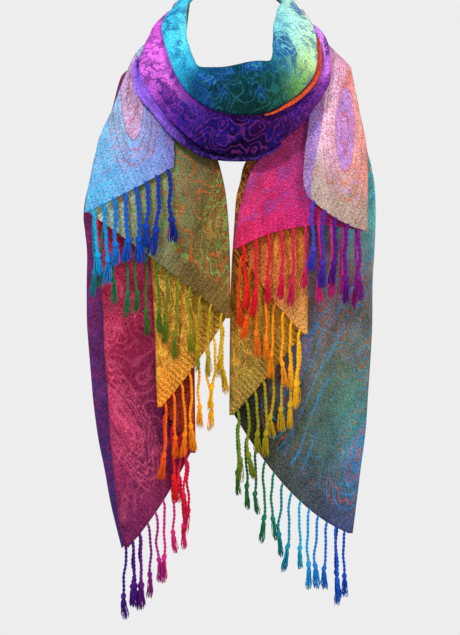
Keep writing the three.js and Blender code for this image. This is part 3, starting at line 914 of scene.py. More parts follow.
def curling_lines(g: Graph, place: object, scale: Triple, rings: float) -> Socket:
    """Draws fine parallel lines that curl like the grain of wood.

    Args:
        g: The node tree.
        place: Place on the flat cloth.
        scale: Scales that make a curl's size one unit.
        rings: Lines in each curl.

    Returns:
        The lines, 0 to 1.
    """
    hills = g.add("TexNoise", g.add("VectorMath:MULTIPLY", place, scale), 1.0, 1.4, 0.45)
    wave = g.add("Math:SINE", g.add("Math:MULTIPLY", hills, rings * 2 * math.pi))
    return g.add("Math:MULTIPLY_ADD", wave, 1.9, -0.75, use_clamp=True)


@dataclass(frozen=True)
class Threads:
    """Sockets that every cloth material starts from."""

    place: Socket
    across: Socket
    up: Socket
    hue: Socket
    rise: Socket


def threads_of(g: Graph) -> Threads:
    """Adds the two maps of a cloth stretch: its flat cloth and its dye.

    Args:
        g: The node tree.

    Returns:
        The sockets.
    """
    flat = g.add("UVMap", uv_map="flat")
    across, up, _ = g.add("SeparateXYZ", flat).node.outputs
    hue, rise, _ = g.add("SeparateXYZ", g.add("UVMap", uv_map="dye")).node.outputs
    return Threads(flat, across, up, hue, rise)


def cloth_shader(g: Graph, color: object, shade: object, height: object) -> None:
    """Ends a cloth material: woven bump and a soft, nearly matt surface.

    Args:
        g: The node tree.
        color: Its colour.
        shade: Brightness of each thread, with the painted shade of the ridges by the hem on woven cloth.
        height: Height of threads and pattern.
    """
    scaled = g.add("VectorMath:SCALE", color, Scale=shade)
    bump = g.add("Bump", Strength=0.45, Distance=0.0012, Height=height)
    # Loose fibres scatter the light, so the cloth has no highlight to speak of.
    shader = g.add("BsdfPrincipled", scaled, Normal=bump, Roughness=0.85, Specular_IOR_Level=0.03)
    g.add("OutputMaterial", shader)


@dataclass(frozen=True)
class Weave:
    """Sockets of the woven surface."""

    speck: Socket
    other: Socket
    shade: Socket
    height: Socket


def weave_of(g: Graph, t: Threads) -> Weave:
    """Uneven yarn: specks where the crossing thread lies on top, and short dashes of light and dark.

    Args:
        g: The node tree.
        t: The cloth's sockets.

    Returns:
        The sockets; the shade is about 1.
    """
    yarns = ((SPECK_MM, 0.0), (OTHER_SPECK_MM, 0.0), (DASH_MM, 1.0), (WEFT_MM, 1.0), (SLUB_MM, 2.0))
    speck, other, dash, weft, slub = (
        g.add("TexNoise", g.add("VectorMath:MULTIPLY", t.place, cells(*size)), 1.0, detail)
        for size, detail in yarns)
    both = g.add("Math:ADD", g.add("Math:MULTIPLY", dash, 0.6), g.add("Math:MULTIPLY", weft, 0.4))
    fine = g.add("Math:ADD", g.add("Math:MULTIPLY_ADD", both, 3.6, -1.3, use_clamp=True), 0.5)
    shade = g.add("Math:MULTIPLY", fine, g.add("Math:MULTIPLY_ADD", slub, 1.1, 0.45))
    return Weave(speck, other, shade, both)


@dataclass(frozen=True)
class WovenCloth:
    """Viscose pashmina, woven with a paisley pattern; the uneven yarn breaks every colour into specks.

    Attributes:
        dye: Its colours, with painted shade and highlight on some stretches.
    """

    dye: DyeAndShade

    def material(self, name: str) -> bpy.types.Material:
        """Makes the finish: dyed ground with painted shade and highlight in places, crossing specks, paisley
        border and fine curling lines.

        Args:
            name: The material's name.

        Returns:
            The material.
        """
        dye = self.dye
        material = bpy.data.materials.new(name)
        material.use_nodes = True
        g = Graph(material.node_tree)
        t = threads_of(g)
        w = weave_of(g, t)
        low, high = dye.rise
        drift = g.add("Math:MULTIPLY_ADD", g.add("TexNoise", t.place, 1 / (DYE_DRIFT_MM * MM), 1.0), 0.05,
                      -0.025)
        height = g.add("Math:ADD", t.up, drift)
        risen = g.add("Math:DIVIDE", g.add("Math:SUBTRACT", height, low), high - low, use_clamp=True)
        # On some stretches the ground ramps hold painted shade, shadow and highlight by the fold edges.
        ground = g.add("Mix", risen, g.add("ValToRGB", t.hue, stops=dye.near),
                       g.add("ValToRGB", t.hue, stops=dye.far), data_type="RGBA")

        patterned = g.add("Math:DIVIDE", g.add("Math:SUBTRACT", t.up, PLAIN_HEM_M), HEM_BLEND_M,
                          use_clamp=True)
        across = g.add("Math:ADD", g.add("Math:ADD", t.across, dye.shift),
                       g.add("Math:MULTIPLY", t.up, dye.lean))
        border = boteh_figure(g, across, t.up, BORDER_BOTEH)
        above = g.add("Math:GREATER_THAN", t.up, BORDER_TOP_M)
        over = g.add("Math:MAXIMUM", g.add("Math:SUBTRACT", t.up, BORDER_TOP_M), 0.0)
        row = g.add("Math:MULTIPLY", g.add("Math:FRACT", g.add("Math:DIVIDE", over, FIELD_PITCH_M)),
                    FIELD_PITCH_M)
        field_row = boteh_figure(g, across, row, FIELD_BOTEH)

        inside = g.add("Math:MULTIPLY", border.inside, g.add("Math:MULTIPLY", patterned, dye.fill))
        # Coats of colour, each over the ones before it: how strongly it shows, and its colour.
        coats = [(inside, dye.inside)]
        crossing = g.add("Math:MULTIPLY_ADD", w.speck, SPECK_EDGE, -SPECK_EDGE * (0.63 - 0.26 * dye.share),
                         use_clamp=True)
        coats.append((g.add("Math:MULTIPLY", crossing, 0.85), dye.weft))
        third = g.add("Math:MULTIPLY_ADD", w.other, SPECK_EDGE, -SPECK_EDGE * 0.585, use_clamp=True)
        coats.append((g.add("Math:MULTIPLY", third, 2.0 * dye.share), dye.second))
        if dye.crown:
            top = g.add("Math:DIVIDE", g.add("Math:SUBTRACT", height, CROWN_M), CROWN_BLEND_M,
                        use_clamp=True)
            coats.append((g.add("Math:MULTIPLY", top, 0.8), dye.crown))
        patches = g.add("TexNoise", t.place, 1 / (CURL_PATCH_MM * MM), 1.0)
        curls = g.add("Math:MULTIPLY", curling_lines(g, t.place, cells(CURL_MM, CURL_MM), 12.0),
                      g.add("Math:MULTIPLY_ADD", patches, 6.0, -2.2, use_clamp=True))
        wide_curls = g.add("Math:MULTIPLY", curling_lines(g, t.place, cells(*WIDE_CURL_MM), 11.0),
                           dye.curls * 0.8)
        coats.append((g.add("Math:MULTIPLY", wide_curls, patterned), dye.motif))
        gaps = g.add("TexNoise", g.add("VectorMath:MULTIPLY", t.place, cells(*BROKEN_LINE_MM)), 1.0, 1.0)
        broken = g.add("Math:MULTIPLY_ADD", gaps, 4.0, -1.2, use_clamp=True)
        drawn = g.add("Math:MULTIPLY", patterned, broken)
        fine = g.most(border.fine, g.add("Math:MULTIPLY", field_row.fine, above),
                      g.add("Math:MULTIPLY", curls, dye.curls))
        coats.append((g.add("Math:MULTIPLY", g.add("Math:MULTIPLY", fine, drawn), 0.9), dye.second))
        lines = g.add("Math:MAXIMUM", border.outline, g.add("Math:MULTIPLY", field_row.outline, above))
        if dye.streaks:
            bend = g.add("Math:MULTIPLY", g.add("TexNoise", t.place, 1 / (STREAK_BEND_MM * MM), 1.0), 0.05)
            slant = g.add("Math:ADD", g.add("Math:ADD", t.across, g.add("Math:MULTIPLY", t.up, 0.3)), bend)
            line = g.near(g.add("Math:FRACT", g.add("Math:DIVIDE", slant, STREAK_MM * MM)), 0.5, 0.17)
            wide = g.add("VectorMath:MULTIPLY", t.place, cells(*STREAK_PATCH_MM))
            where = g.add("Math:MULTIPLY_ADD", g.add("TexNoise", wide, 1.0, 1.0), 7.0, -3.3, use_clamp=True)
            lines = g.add("Math:MAXIMUM", lines,
                          g.add("Math:MULTIPLY", g.add("Math:MULTIPLY", line, where), dye.streaks * 1.6))
        lines = g.add("Math:MULTIPLY", g.add("Math:MULTIPLY", lines, drawn), dye.pattern)
        coats.append((lines, dye.motif))
        color = ground
        for strength, code in coats:
            color = g.add("Mix", strength, color, linear(code), data_type="RGBA")
        # Near the hem the cloth puckers into uneven ribs between the roots of the fringe.
        waver = g.add("Math:MULTIPLY", g.add("TexNoise", t.place, 1 / (PUCKER_WAVER_MM * MM), 1.0), 7.0)
        rib = g.add("Math:SINE", g.add("Math:MULTIPLY_ADD", t.across, 2 * math.pi / (PUCKER_MM * MM), waver))
        bare = g.add("Math:SUBTRACT", 1.0, patterned)
        # The ridges raise the bump and also lighten and darken the colour: painted shade and light.
        rib_relief_and_shade = g.add("Math:MULTIPLY", g.add("Math:MULTIPLY", rib, bare), dye.pucker)
        raised = g.add("Math:ADD", rib_relief_and_shade, g.add("Math:MULTIPLY", lines, 0.5))
        cloth_shader(g, color, g.add("Math:ADD", w.shade, rib_relief_and_shade), g.add("Math:ADD", w.height, raised))
        return material


@dataclass(frozen=True)
class Patch:
    """A place where the dark figures close up.

    Attributes:
        place: Its middle round the loop, in table rows.
        across: Its middle across the cloth, 0 to 1.
        long: Half its length, in table rows.
        wide: Half its width, as a share of the cloth's.
    """

    place: float
    across: float
    long: float
    wide: float


@dataclass(frozen=True)
class LoopDyeAndShade:
    """Colours of a stretch round the neck, with painted shade and a painted highlight.

    Attributes:
        rim: Ground along its upper edge, by place round the loop; 0 and 1 are the middle of the front.
            At the front it is lighter than the ground below it: a painted highlight along the edge.
        upper: Ground of its upper part; on the roll and the bands darkest at the front: painted shade.
        lower: Ground of its lower part; on the roll and the bands darkest at the front: painted shade.
        motif: Colour of the figures.
        second: Colour of the fine lines within them.
        pattern: How strongly they show, 0 to 1.
        hair: How strongly the fine lines show outside them, 0 to 1.
        turn: Where across the cloth the upper part gives way to the lower.
        soft: How softly it does.
        patches: Where the figures close up.
    """

    rim: Ramp
    upper: Ramp
    lower: Ramp
    motif: str
    second: str
    pattern: float
    hair: float = 0.2
    turn: float = 0.5
    soft: float = 0.2
    patches: tuple[Patch, ...] = ()


# Round the loop the ramps run dark at the middle of the front (0 and 1) and bright at the sides: painted
# shade of the front. The rim ramps are lighter there: a painted highlight along the upper edge.
LOW_BAND_RAMP: Ramp = ((0, "#150a30"), (0.08, "#281356"), (0.13, "#8b5dd6"), (0.24, "#a97bf3"),
                       (0.9, "#4a2080"), (1, "#150a30"))
LOOP_DYES_AND_SHADE: dict[str, LoopDyeAndShade] = {
    "neck_roll_upper": LoopDyeAndShade(
        ((0, "#177b89"), (0.06, "#177b90"), (0.11, "#2294ac"), (0.17, "#54d3e6"), (0.25, "#3592cf"),
         (0.32, "#284c99"), (0.5, "#264c86"), (0.64, "#39857a"), (0.72, "#296e5b"), (0.79, "#215e52"),
         (0.84, "#329198"), (0.9, "#228d9b"), (0.95, "#17828d"), (1, "#177b89")),
        ((0, "#093b42"), (0.05, "#093e54"), (0.1, "#0d628d"), (0.15, "#4acee5"), (0.2, "#73f2f5"),
         (0.28, "#5cdbf5"), (0.38, "#2ea1c0"), (0.5, "#288aa1"), (0.64, "#89ceb7"), (0.72, "#88d8e0"),
         (0.79, "#7cdef0"), (0.84, "#41a3c8"), (0.9, "#0d5057"), (0.95, "#093b40"), (1, "#093b42")),
        ((0, "#092d25"), (0.05, "#09303b"), (0.1, "#0c3e69"), (0.15, "#2ca5d2"), (0.2, "#4ccff5"),
         (0.28, "#35b0d7"), (0.5, "#2d8a99"), (0.64, "#c7e9d2"), (0.72, "#baebc5"), (0.79, "#add383"),
         (0.84, "#69a04c"), (0.9, "#1b4530"), (0.95, "#0b2d22"), (1, "#092d25")),
        "#17448d", "#53ccd7", 0.8, 0.08, 0.5, 0.5,
        (Patch(-3.6, 0.34, 0.9, 0.24), Patch(-6.4, 0.62, 0.5, 0.14), Patch(-1, 0.3, 0.5, 0.1),
         Patch(1.3, 0.55, 0.5, 0.08), Patch(0.3, 0.35, 0.3, 0.06))),
    "neck_band_middle": LoopDyeAndShade(
        ((0, "#2a0a48"), (0.06, "#39186c"), (0.13, "#873aa1"), (0.19, "#c754c4"), (0.26, "#b84cbc"),
         (0.4, "#7a3da9"), (0.6, "#7a41a9"), (0.7, "#9556c8"), (0.76, "#af5fcb"), (0.8, "#9546ac"),
         (0.86, "#672879"), (0.93, "#451558"), (1, "#2b0a49")),
        ((0, "#110327"), (0.05, "#1c0a48"), (0.1, "#4b2e94"), (0.14, "#b555bd"), (0.19, "#f277ee"),
         (0.26, "#ea67e2"), (0.4, "#993da9"), (0.6, "#9945b0"), (0.7, "#d889eb"), (0.76, "#df83eb"),
         (0.8, "#b05ac0"), (0.86, "#5f2476"), (0.93, "#2f0a3e"), (1, "#110327")),
        ((0, "#0c0220"), (0.05, "#150635"), (0.1, "#3d208d"), (0.14, "#9442b2"), (0.19, "#de6fe6"),
         (0.26, "#d760db"), (0.4, "#8a35a1"), (0.6, "#8a3da9"), (0.7, "#d089eb"), (0.76, "#d37be7"),
         (0.8, "#8d3ea4"), (0.86, "#49195f"), (0.93, "#1c072f"), (1, "#0c0220")),
        "#19126a", "#9b3a9b", 0.8, 0.22, 0.5, 0.4,
        (Patch(2.2, 0.5, 0.9, 0.22), Patch(0.6, 0.6, 0.7, 0.16), Patch(-2.6, 0.45, 0.8, 0.15),
         Patch(-5.2, 0.6, 0.5, 0.12))),
    "neck_band_lower": LoopDyeAndShade(
        LOW_BAND_RAMP, LOW_BAND_RAMP, LOW_BAND_RAMP,
        "#231356", "#a365f0", 0.5, 0.15, 0.5, 0.4),
    "neck_layer_red": LoopDyeAndShade(
        ((0, "#a12a22"), (1, "#b02e22")),
        ((0, "#b02e22"), (1, "#c03922")),
        ((0, "#c03922"), (1, "#cf5026")),
        "#771a1e", "#e27a3d", 0.4, 0.1, 0.5, 0.4),
}


@dataclass(frozen=True)
class NeckCloth:
    """The same weave seen from its other face, where dark figures lie on a bright ground.

    Attributes:
        dye: Its colours, with painted shade and a painted highlight.
    """

    dye: LoopDyeAndShade

    def material(self, name: str) -> bpy.types.Material:
        """Makes the finish: ground with painted shade by place round the neck, dark figures and fine lines.

        Args:
            name: The material's name.

        Returns:
            The material.
        """
        dye = self.dye
        material = bpy.data.materials.new(name)
        material.use_nodes = True
        g = Graph(material.node_tree)
        t = threads_of(g)
        w = weave_of(g, t)
        drift = g.add("Math:MULTIPLY_ADD", g.add("TexNoise", t.place, 1 / (NECK_DRIFT_MM * MM), 1.0), 0.4,
                      -0.2)
        past = g.add("Math:SUBTRACT", g.add("Math:ADD", t.rise, drift), dye.turn)
        lower = g.add("Math:ADD", g.add("Math:DIVIDE", past, dye.soft), 0.5, use_clamp=True)
        # The map runs from the back of the neck; the colours are told from the middle of the front.
        place = g.add("Math:FRACT", g.add("Math:ADD", t.hue, 1.0 - LOOP_START / len(LOOP)))
        below = g.add("Math:MULTIPLY_ADD", g.add("Math:ADD", t.rise, g.add("Math:MULTIPLY", drift, 0.3)),
                      8.0, -0.6, use_clamp=True)
        # The rim ramp paints a highlight along the upper edge at the front, and every ramp paints shade
        # there.
        high = g.add("Mix", below, g.add("ValToRGB", place, stops=dye.rim),
                     g.add("ValToRGB", place, stops=dye.upper), data_type="RGBA")
        ground = g.add("Mix", lower, high, g.add("ValToRGB", place, stops=dye.lower), data_type="RGBA")
        row = g.add("Math:MULTIPLY_ADD", t.hue, float(len(LOOP)), -LOOP_START)
        ragged = g.add("Math:MULTIPLY_ADD", g.add("TexNoise", t.place, 1 / (RAGGED_MM * MM), 2.0), 2.4,
                       -1.2)
        closed = None
        for patch in dye.patches:
            dx = g.add("Math:DIVIDE", g.add("Math:SUBTRACT", row, patch.place), patch.long)
            dy = g.add("Math:DIVIDE", g.add("Math:SUBTRACT", t.rise, patch.across), patch.wide)
            square = g.add("Math:ADD", g.add("Math:MULTIPLY", dx, dx), g.add("Math:MULTIPLY", dy, dy))
            far = g.add("Math:ADD", square, ragged)
            mask = g.add("Math:MULTIPLY_ADD", far, -5.0, 5.0, use_clamp=True)
            closed = mask if closed is None else g.add("Math:MAXIMUM", closed, mask)
        patches = g.add("TexNoise", t.place, 1 / (SPRIG_PATCH_MM * MM), 1.0)
        scattered = g.add("Math:MULTIPLY", sprigs(g, t.place, cells(SPRIG_MM, SPRIG_MM), 5.0),
                          g.add("Math:MULTIPLY_ADD", patches, 8.0, -3.3, use_clamp=True))
        color = g.add("Mix", g.add("Math:MULTIPLY", scattered, dye.pattern), ground, linear(dye.motif),
                      data_type="RGBA")
        height = g.add("Math:MULTIPLY", scattered, 0.5)
        if closed is not None:
            threads = curling_lines(g, t.place, cells(FIGURE_CURL_MM, FIGURE_CURL_MM), 13.0)
            pale = g.add("Mix", 0.35, ground, linear(dye.second), data_type="RGBA")
            figure = g.add("Mix", g.add("Math:MULTIPLY", threads, 0.75), linear(dye.motif), pale,
                           data_type="RGBA")
            color = g.add("Mix", g.add("Math:MULTIPLY", closed, dye.pattern), color, figure,
                          data_type="RGBA")
            height = g.add("Math:MAXIMUM", height, g.add("Math:MULTIPLY", closed, threads))
        hair = curling_lines(g, t.place, cells(HAIR_CURL_MM, HAIR_CURL_MM), 10.0)
        color = g.add("Mix", g.add("Math:MULTIPLY", hair, dye.hair), color, linear(dye.second),
                      data_type="RGBA")
        crossing = g.add("Math:MULTIPLY_ADD", w.speck, SPECK_EDGE, -SPECK_EDGE * 0.58, use_clamp=True)
        color = g.add("Mix", g.add("Math:MULTIPLY", crossing, 0.28), color, linear(dye.motif),
                      data_type="RGBA")
        cloth_shader(g, color, w.shade, g.add("Math:ADD", w.height, g.add("Math:MULTIPLY", height, 0.6)))
        return material


@dataclass(frozen=True)
class TwistedCord:
    """Warp ends twisted into soft two-ply cords, matt with short fibres.

    Attributes:
        warp: Colours of the warp from one selvedge to the other.
    """

    warp: Ramp

    def material(self, name: str) -> bpy.types.Material:
        """Makes the finish; its colour is that of the warp thread at its place.

        Args:
            name: The material's name.

        Returns:
            The material.
        """
        material = bpy.data.materials.new(name)
        material.use_nodes = True
        g = Graph(material.node_tree)
        t = threads_of(g)
        fibres = g.add("TexNoise", g.add("VectorMath:MULTIPLY", t.place, cells(*FIBRE_MM)), 1.0, 2.0)
        shade = g.add("Math:MULTIPLY_ADD", g.add("Math:MULTIPLY_ADD", fibres, 2.4, -0.7, use_clamp=True),
                      0.6, 0.68)
        cloth_shader(g, g.add("ValToRGB", t.hue, stops=self.warp), shade, fibres)
        return material


# Meshes.
def cloth_object(name: str, grid: ClothGrid, material: bpy.types.Material, wall: float = CLOTH_MM,
                 closed: bool = False) -> bpy.types.Object:
    """Makes a cloth stretch from its grid.

    Args:
        name: The object's name.
        grid: Its points and maps.
        material: Its material.
        wall: Thickness of the cloth, in mm.
        closed: Whether its first and last rows are the same.

    Returns:
        The object.
    """
    rows, cols = grid.points.shape[:2]
    bm = bmesh.new()
    bmesh.ops.create_grid(bm, x_segments=cols - 1, y_segments=rows - 1, size=1.0)
    bm.verts.ensure_lookup_table()
    spots = [(round(v.co.y, 6), round(v.co.x, 6)) for v in bm.verts]
    order = sorted(range(len(spots)), key=spots.__getitem__)
    place = {}
    flat = grid.points.reshape(-1, 3) * MM
    for k, i in enumerate(order):
        bm.verts[i].co = flat[k]
        place[i] = k
    maps = {"flat": grid.flat.reshape(-1, 2), "dye": grid.dye.reshape(-1, 2)}
    layers = {key: bm.loops.layers.uv.new(key) for key in maps}
    for face in bm.faces:
        face.smooth = True
        for loop in face.loops:
            k = place[loop.vert.index]
            for key, values in maps.items():
                loop[layers[key]].uv = values[k]
    if closed:
        bmesh.ops.remove_doubles(bm, verts=bm.verts, dist=1e-6)
    mesh = bpy.data.meshes.new(name)
    bm.to_mesh(mesh)
    bm.free()
    mesh.materials.append(material)
    made = bpy.data.objects.new(name, mesh)
    bpy.context.collection.objects.link(made)
    solid = made.modifiers.new("Wall", "SOLIDIFY")
    solid.thickness = wall * MM
    solid.offset = 0.0
    return made


@dataclass
class Tube:
    """Collects the points, faces and maps of many small tubes in one mesh."""

    points: list[tuple[float, float, float]] = field(default_factory=list)
    faces: list[tuple[int, ...]] = field(default_factory=list)
    flat: list[tuple[float, float]] = field(default_factory=list)
    dye: list[tuple[float, float]] = field(default_factory=list)

    def add(self, path: np.ndarray, radii: np.ndarray, hue: float, lobes: float, twist: float) -> None:
        """Adds a tube with a lobed, turning section.

        Args:
            path: Its middle line, in mm, running mostly downwards.
            radii: Its radius at each point.
            hue: Place in the dyed warp.
            lobes: How deep the two strands stand apart, 0 to 1.
            twist: Turn per mm, in radians.
        """
        sides = CORD_SIDES if lobes else HAIR_SIDES
        first = len(self.points)
        q = np.arange(sides) / sides * 2 * math.pi
        for centre, radius, s in zip(path, radii, lengths(path)):
            r = radius * (1 - lobes + 2 * lobes * np.abs(np.cos(q - twist * s)) ** 1.2)
            for k in range(sides):
                x, y = centre[0] + r[k] * math.cos(q[k]), centre[1] + r[k] * math.sin(q[k])
                self.points.append((x, y, centre[2]))
                self.flat.append((k / sides * 0.008, s * MM))
                self.dye.append((hue, s * MM))
        for i in range(len(path) - 1):
            for k in range(sides):
                a, b = first + i * sides + k, first + i * sides + (k + 1) % sides
                self.faces.append((a, a + sides, b + sides, b))
        self.faces.append(tuple(first + k for k in range(sides)))
        last = first + (len(path) - 1) * sides
        self.faces.append(tuple(last + k for k in reversed(range(sides))))

    def build(self, name: str, material: bpy.types.Material) -> bpy.types.Object:
        """Makes the object.

        Args:
            name: Its name.
            material: Its material.

        Returns:
            The object.
        """
        bm = bmesh.new()
        verts = [bm.verts.new([c * MM for c in p]) for p in self.points]
        flat = bm.loops.layers.uv.new("flat")
        dye = bm.loops.layers.uv.new("dye")
        for corners in self.faces:
            face = bm.faces.new([verts[i] for i in corners])
            face.smooth = len(corners) == 4
            for loop, i in zip(face.loops, corners):
                loop[flat].uv = self.flat[i]
                loop[dye].uv = self.dye[i]
        bmesh.ops.recalc_face_normals(bm, faces=bm.faces)
        mesh = bpy.data.meshes.new(name)
        bm.to_mesh(mesh)
        bm.free()
        mesh.materials.append(material)
        made = bpy.data.objects.new(name, mesh)
        bpy.context.collection.objects.link(made)
        return made


def declare(made: bpy.types.Object, node: str) -> None:
    """Lets a piece stand for its CAD node and ride on the shawl.

    Args:
        made: The piece.
        node: The CAD node.
    """
    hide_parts(node)
    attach(made, "root")
    LOG.info("%s stands for %s", made.name, node)


@dataclass(frozen=True)
class HangingEnd:
    """One end of the shawl, folded to and fro, with a fringe along every stretch of its hem.

    Attributes:
        side: Which end it is.
        folds: Its fold lines, from the front inwards.
        stretches: The cloth between them.
    """

    side: Side
    folds: tuple[Fold, ...]
    stretches: tuple[Stretch, ...]

    def placed(self, x: np.ndarray, down: np.ndarray, layer: np.ndarray | float) -> np.ndarray:
        """Places points of a hanging end.

        Args:
            x: Across, in mm.
            down: The way down from the shoulder, in mm.
            layer: Layers in from the front.

        Returns:
            Points in mm.
        """
        ty = eased(WAY_Y, down + 0.5) - eased(WAY_Y, down - 0.5)
        tz = eased(WAY_Z, down + 0.5) - eased(WAY_Z, down - 0.5)
        size = np.hypot(ty, tz)
        inward = layer * eased(LAYER_STEP, down)
        fade = 1 - smoothstep(down, 15, 110)
        slope = -0.0078 * np.maximum(0, np.abs(x) - 95) ** 2 * fade
        lift = (10.4 if self.side is Side.LEFT else 0) * fade
        sway = 3 * np.sin(x / 31 + down / 90) * smoothstep(down, 120, 260)
        return np.stack([x, eased(WAY_Y, down) - inward * tz / size + sway,
                         eased(WAY_Z, down) + inward * ty / size + slope + lift], axis=-1)

    def grid(self, stretch: Stretch, rows: int = 150, flats: int = 56, turns: int = 10) -> ClothGrid:
        """Works out a stretch of a hanging end.

        Args:
            stretch: The stretch.
            rows: Rows from the neck to the hem.
            flats: Columns of the flat part.
            turns: Columns of the turn to the next layer.

        Returns:
            The grid, with its places in the flat cloth.
        """
        folds = self.folds
        t = np.linspace(0, 1, rows)
        ax, adown = fold_line(folds[stretch.start], t)
        bx, bdown = fold_line(folds[stretch.end], t)
        way = math.copysign(1, bx[-1] - ax[-1])
        low = np.maximum(0, (t - SHOULDER_SHARE) / (1 - SHOULDER_SHARE)) ** 3
        ra, rb = eased(LAYER_STEP, adown) / 2, eased(LAYER_STEP, bdown) / 2
        in_turn = 0 < stretch.layer < 5.5
        flat0 = ax + way * (ra + TAB_MM + SEAM_MM if in_turn else CAD_WALL_MM / 2)
        flat1 = bx - way * (rb if stretch.turns else CAD_WALL_MM / 2)
        c = np.linspace(0, 1, flats)
        x = flat0[:, None] * (1 - c) + flat1[:, None] * c
        bow = stretch.bow * 4 * c * (1 - c) * low[:, None]
        down = adown[:, None] * (1 - c) + bdown[:, None] * c + bow
        layer = np.full_like(x, stretch.layer)
        spread = x.copy()
        # Soft hanging waves, calm at both edges, near the neck and at the seam with the fringe.
        calm = np.sin(np.pi * np.clip(c, 0.0, 1.0))[None, :] * smoothstep(down, 60, 240)
        seed = 1.7 * stretch.start + (0 if self.side is Side.LEFT else 2.3)
        wave = (1.7 * np.sin(x / 10.5 + down / 160 + seed) + 0.9 * np.sin(x / 5.1 - down / 70 + 2 * seed)
                + 0.7 * np.sin(down / 19 + x / 11 + seed) + 0.35 * np.sin(x / 2.7 + down / 9 + 3 * seed)
                + 2.6 * smoothstep(down, 160, 380) * np.sin(x / 8.5 + down / 260 + 1.3 * seed)) * calm
        layer = layer + wave / np.maximum(eased(LAYER_STEP, down), 1) * 0.8
        if stretch.turns:
            q = np.linspace(0, np.pi, turns + 1)[1:]
            tx = flat1[:, None] + way * (rb[:, None] - CAD_WALL_MM / 2) * np.sin(q)
            tl = stretch.layer + (1 - np.cos(q))[None, :] / 2 + 0 * tx
            ts = flat1[:, None] + way * rb[:, None] * q
            td = np.repeat(bdown[:, None], len(q), axis=1)
            x = np.concatenate([x, tx, (flat1 - way * TAB_MM)[:, None]], axis=1)
            layer = np.concatenate([layer, tl, np.full((rows, 1), stretch.layer + 1)], axis=1)
            down = np.concatenate([down, td, bdown[:, None]], axis=1)
            spread = np.concatenate([spread, ts, (flat1 + way * (rb * np.pi + TAB_MM))[:, None]], axis=1)
        points = self.placed(x, down, layer)
        # The line between the hem's corners gives the weave's direction, and heights start at the hem.
        start = np.array([ax[-1], -adown[-1]])
        hem = np.array([bx[-1], -bdown[-1]]) - start
        length = float(np.hypot(*hem))
        along = hem / length
        up = np.array([-along[1], along[0]])
        if up[1] < 0:
            up = -up
        place = np.stack([spread, -down], axis=-1) - start
        u = place @ along / length
        rise = place @ up
        order = np.argsort(u[-1])
        v = np.maximum(rise - np.interp(u, u[-1][order], rise[-1][order]), 0) * MM
        across = (spread - ax[:, None]) / (bx - ax)[:, None]
        blend = stretch.grain * u + (1 - stretch.grain) * across
        flat = np.stack([u * length * MM, v], axis=-1)
        return ClothGrid(seen(points), flat, np.stack([np.clip(blend, 0, 1), v], axis=-1))

    def fringe(self, stretch: Stretch, index: int, material: bpy.types.Material) -> bpy.types.Object:
        """Makes the fringe of a stretch: twisted cords that end in a knot and a frayed tuft.

        Args:
            stretch: The stretch.
            index: Its place from the front.
            material: The cord's material.

        Returns:
            The fringe.
        """
        hem = self.grid(stretch, HEM_STEPS, HEM_STEPS + 1).points[-1, :HEM_STEPS + 1]
        tube = Tube()
        rng = np.random.default_rng(100 * index + (LEFT_SEED if self.side is Side.LEFT else RIGHT_SEED))
        h0, h1 = stretch.hue
        cord = stretch.cord
        for i in range(stretch.strands):
            s = (i + 0.5) / stretch.strands
            at = s * HEM_STEPS
            j = min(int(at), HEM_STEPS - 1)
            root = hem[j] * (1 - (at - j)) + hem[j + 1] * (at - j)
            slope = hem[min(j + 3, HEM_STEPS)] - hem[max(j - 3, 0)]
            steep = float(slope[2] / max(np.hypot(slope[0], slope[2]), 1e-6))
            outward = steep * math.copysign(1, slope[0])
            hue = float(np.clip(h0 + (h1 - h0) * s, 0, 1))
            length = STRAND_MM + 9 * math.sin(i * 2.4 + index * 1.7) + rng.uniform(-4, 4)
            lean = 0.03 * math.cos(i * 1.9 + index) + rng.uniform(-0.04, 0.04)
            sway, turn, reach = rng.uniform(0.8, 2.4), rng.uniform(0, 6.3), rng.uniform(11, 24)
            base = float(self.placed(np.array(root[0]), np.array(-root[2]), stretch.layer)[1])
            depth = rng.uniform(-0.6, 1.2)

            def at_drop(drop: np.ndarray) -> np.ndarray:
                """Follows the strand, which leaves the hem at a right angle and hangs before the cloth.

                Args:
                    drop: Ways down from the hem, in mm.

                Returns:
                    The points there.
                """
                way = self.placed(np.full_like(drop, root[0]), -root[2] + drop, stretch.layer)
                y = way[:, 1] - base + root[1]
                free = smoothstep(drop, 4, 40)
                fall = np.maximum(drop, 0)
                x = (root[0] + outward * 3.2 * (1 - np.exp(-fall / 4)) + lean * fall
                     + free * (sway * np.sin(drop / reach + turn) + 0.5 * np.sin(drop / 5.3 + 2 * turn)))
                return np.stack([x, y - 0.3 - free * depth, root[2] - drop], axis=-1)

            line = at_drop(np.linspace(-1.0, length * CORD_END, 60))
            tube.add(line, np.full(len(line), cord * 0.96), hue, 0.30, 1.0 / cord)
            knot = at_drop(np.linspace(length * KNOT[0], length * KNOT[1], 9))
            swell = 1 + 1.0 * np.sin(np.linspace(0, math.pi, len(knot))) ** 0.7
            tube.add(knot, cord * swell, hue, 0.12, 0.9)
            foot = at_drop(np.array([length * TUFT, length]))
            drag = rng.uniform(-0.10, 0.10) * length
            for _ in range(TUFT_HAIRS):
                q = rng.uniform(0, 2 * math.pi)
                out = rng.uniform(0.2, 1.25) * cord / 1.5
                long = rng.uniform(0.78, 1.05)
                steps = np.linspace(0, 1, 6)
                middle = foot[0] + (foot[1] - foot[0]) * steps[:, None] * long
                flare = out * (0.7 + 2.9 * np.sin(steps * 2.2))
                middle[:, 0] += np.cos(q) * flare + 0.6 * np.sin(steps * 9 + q) + drag * steps ** 2 * 0.3
                middle[:, 1] += np.sin(q) * flare * 0.6
                tint = float(np.clip(hue + rng.uniform(-0.01, 0.01), 0, 1))
                tube.add(middle, 0.5 * cord * (1 - 0.5 * steps), tint, 0.0, 0.0)
        return tube.build(stretch.name.replace("fold", "fringe") + "_cords", material)

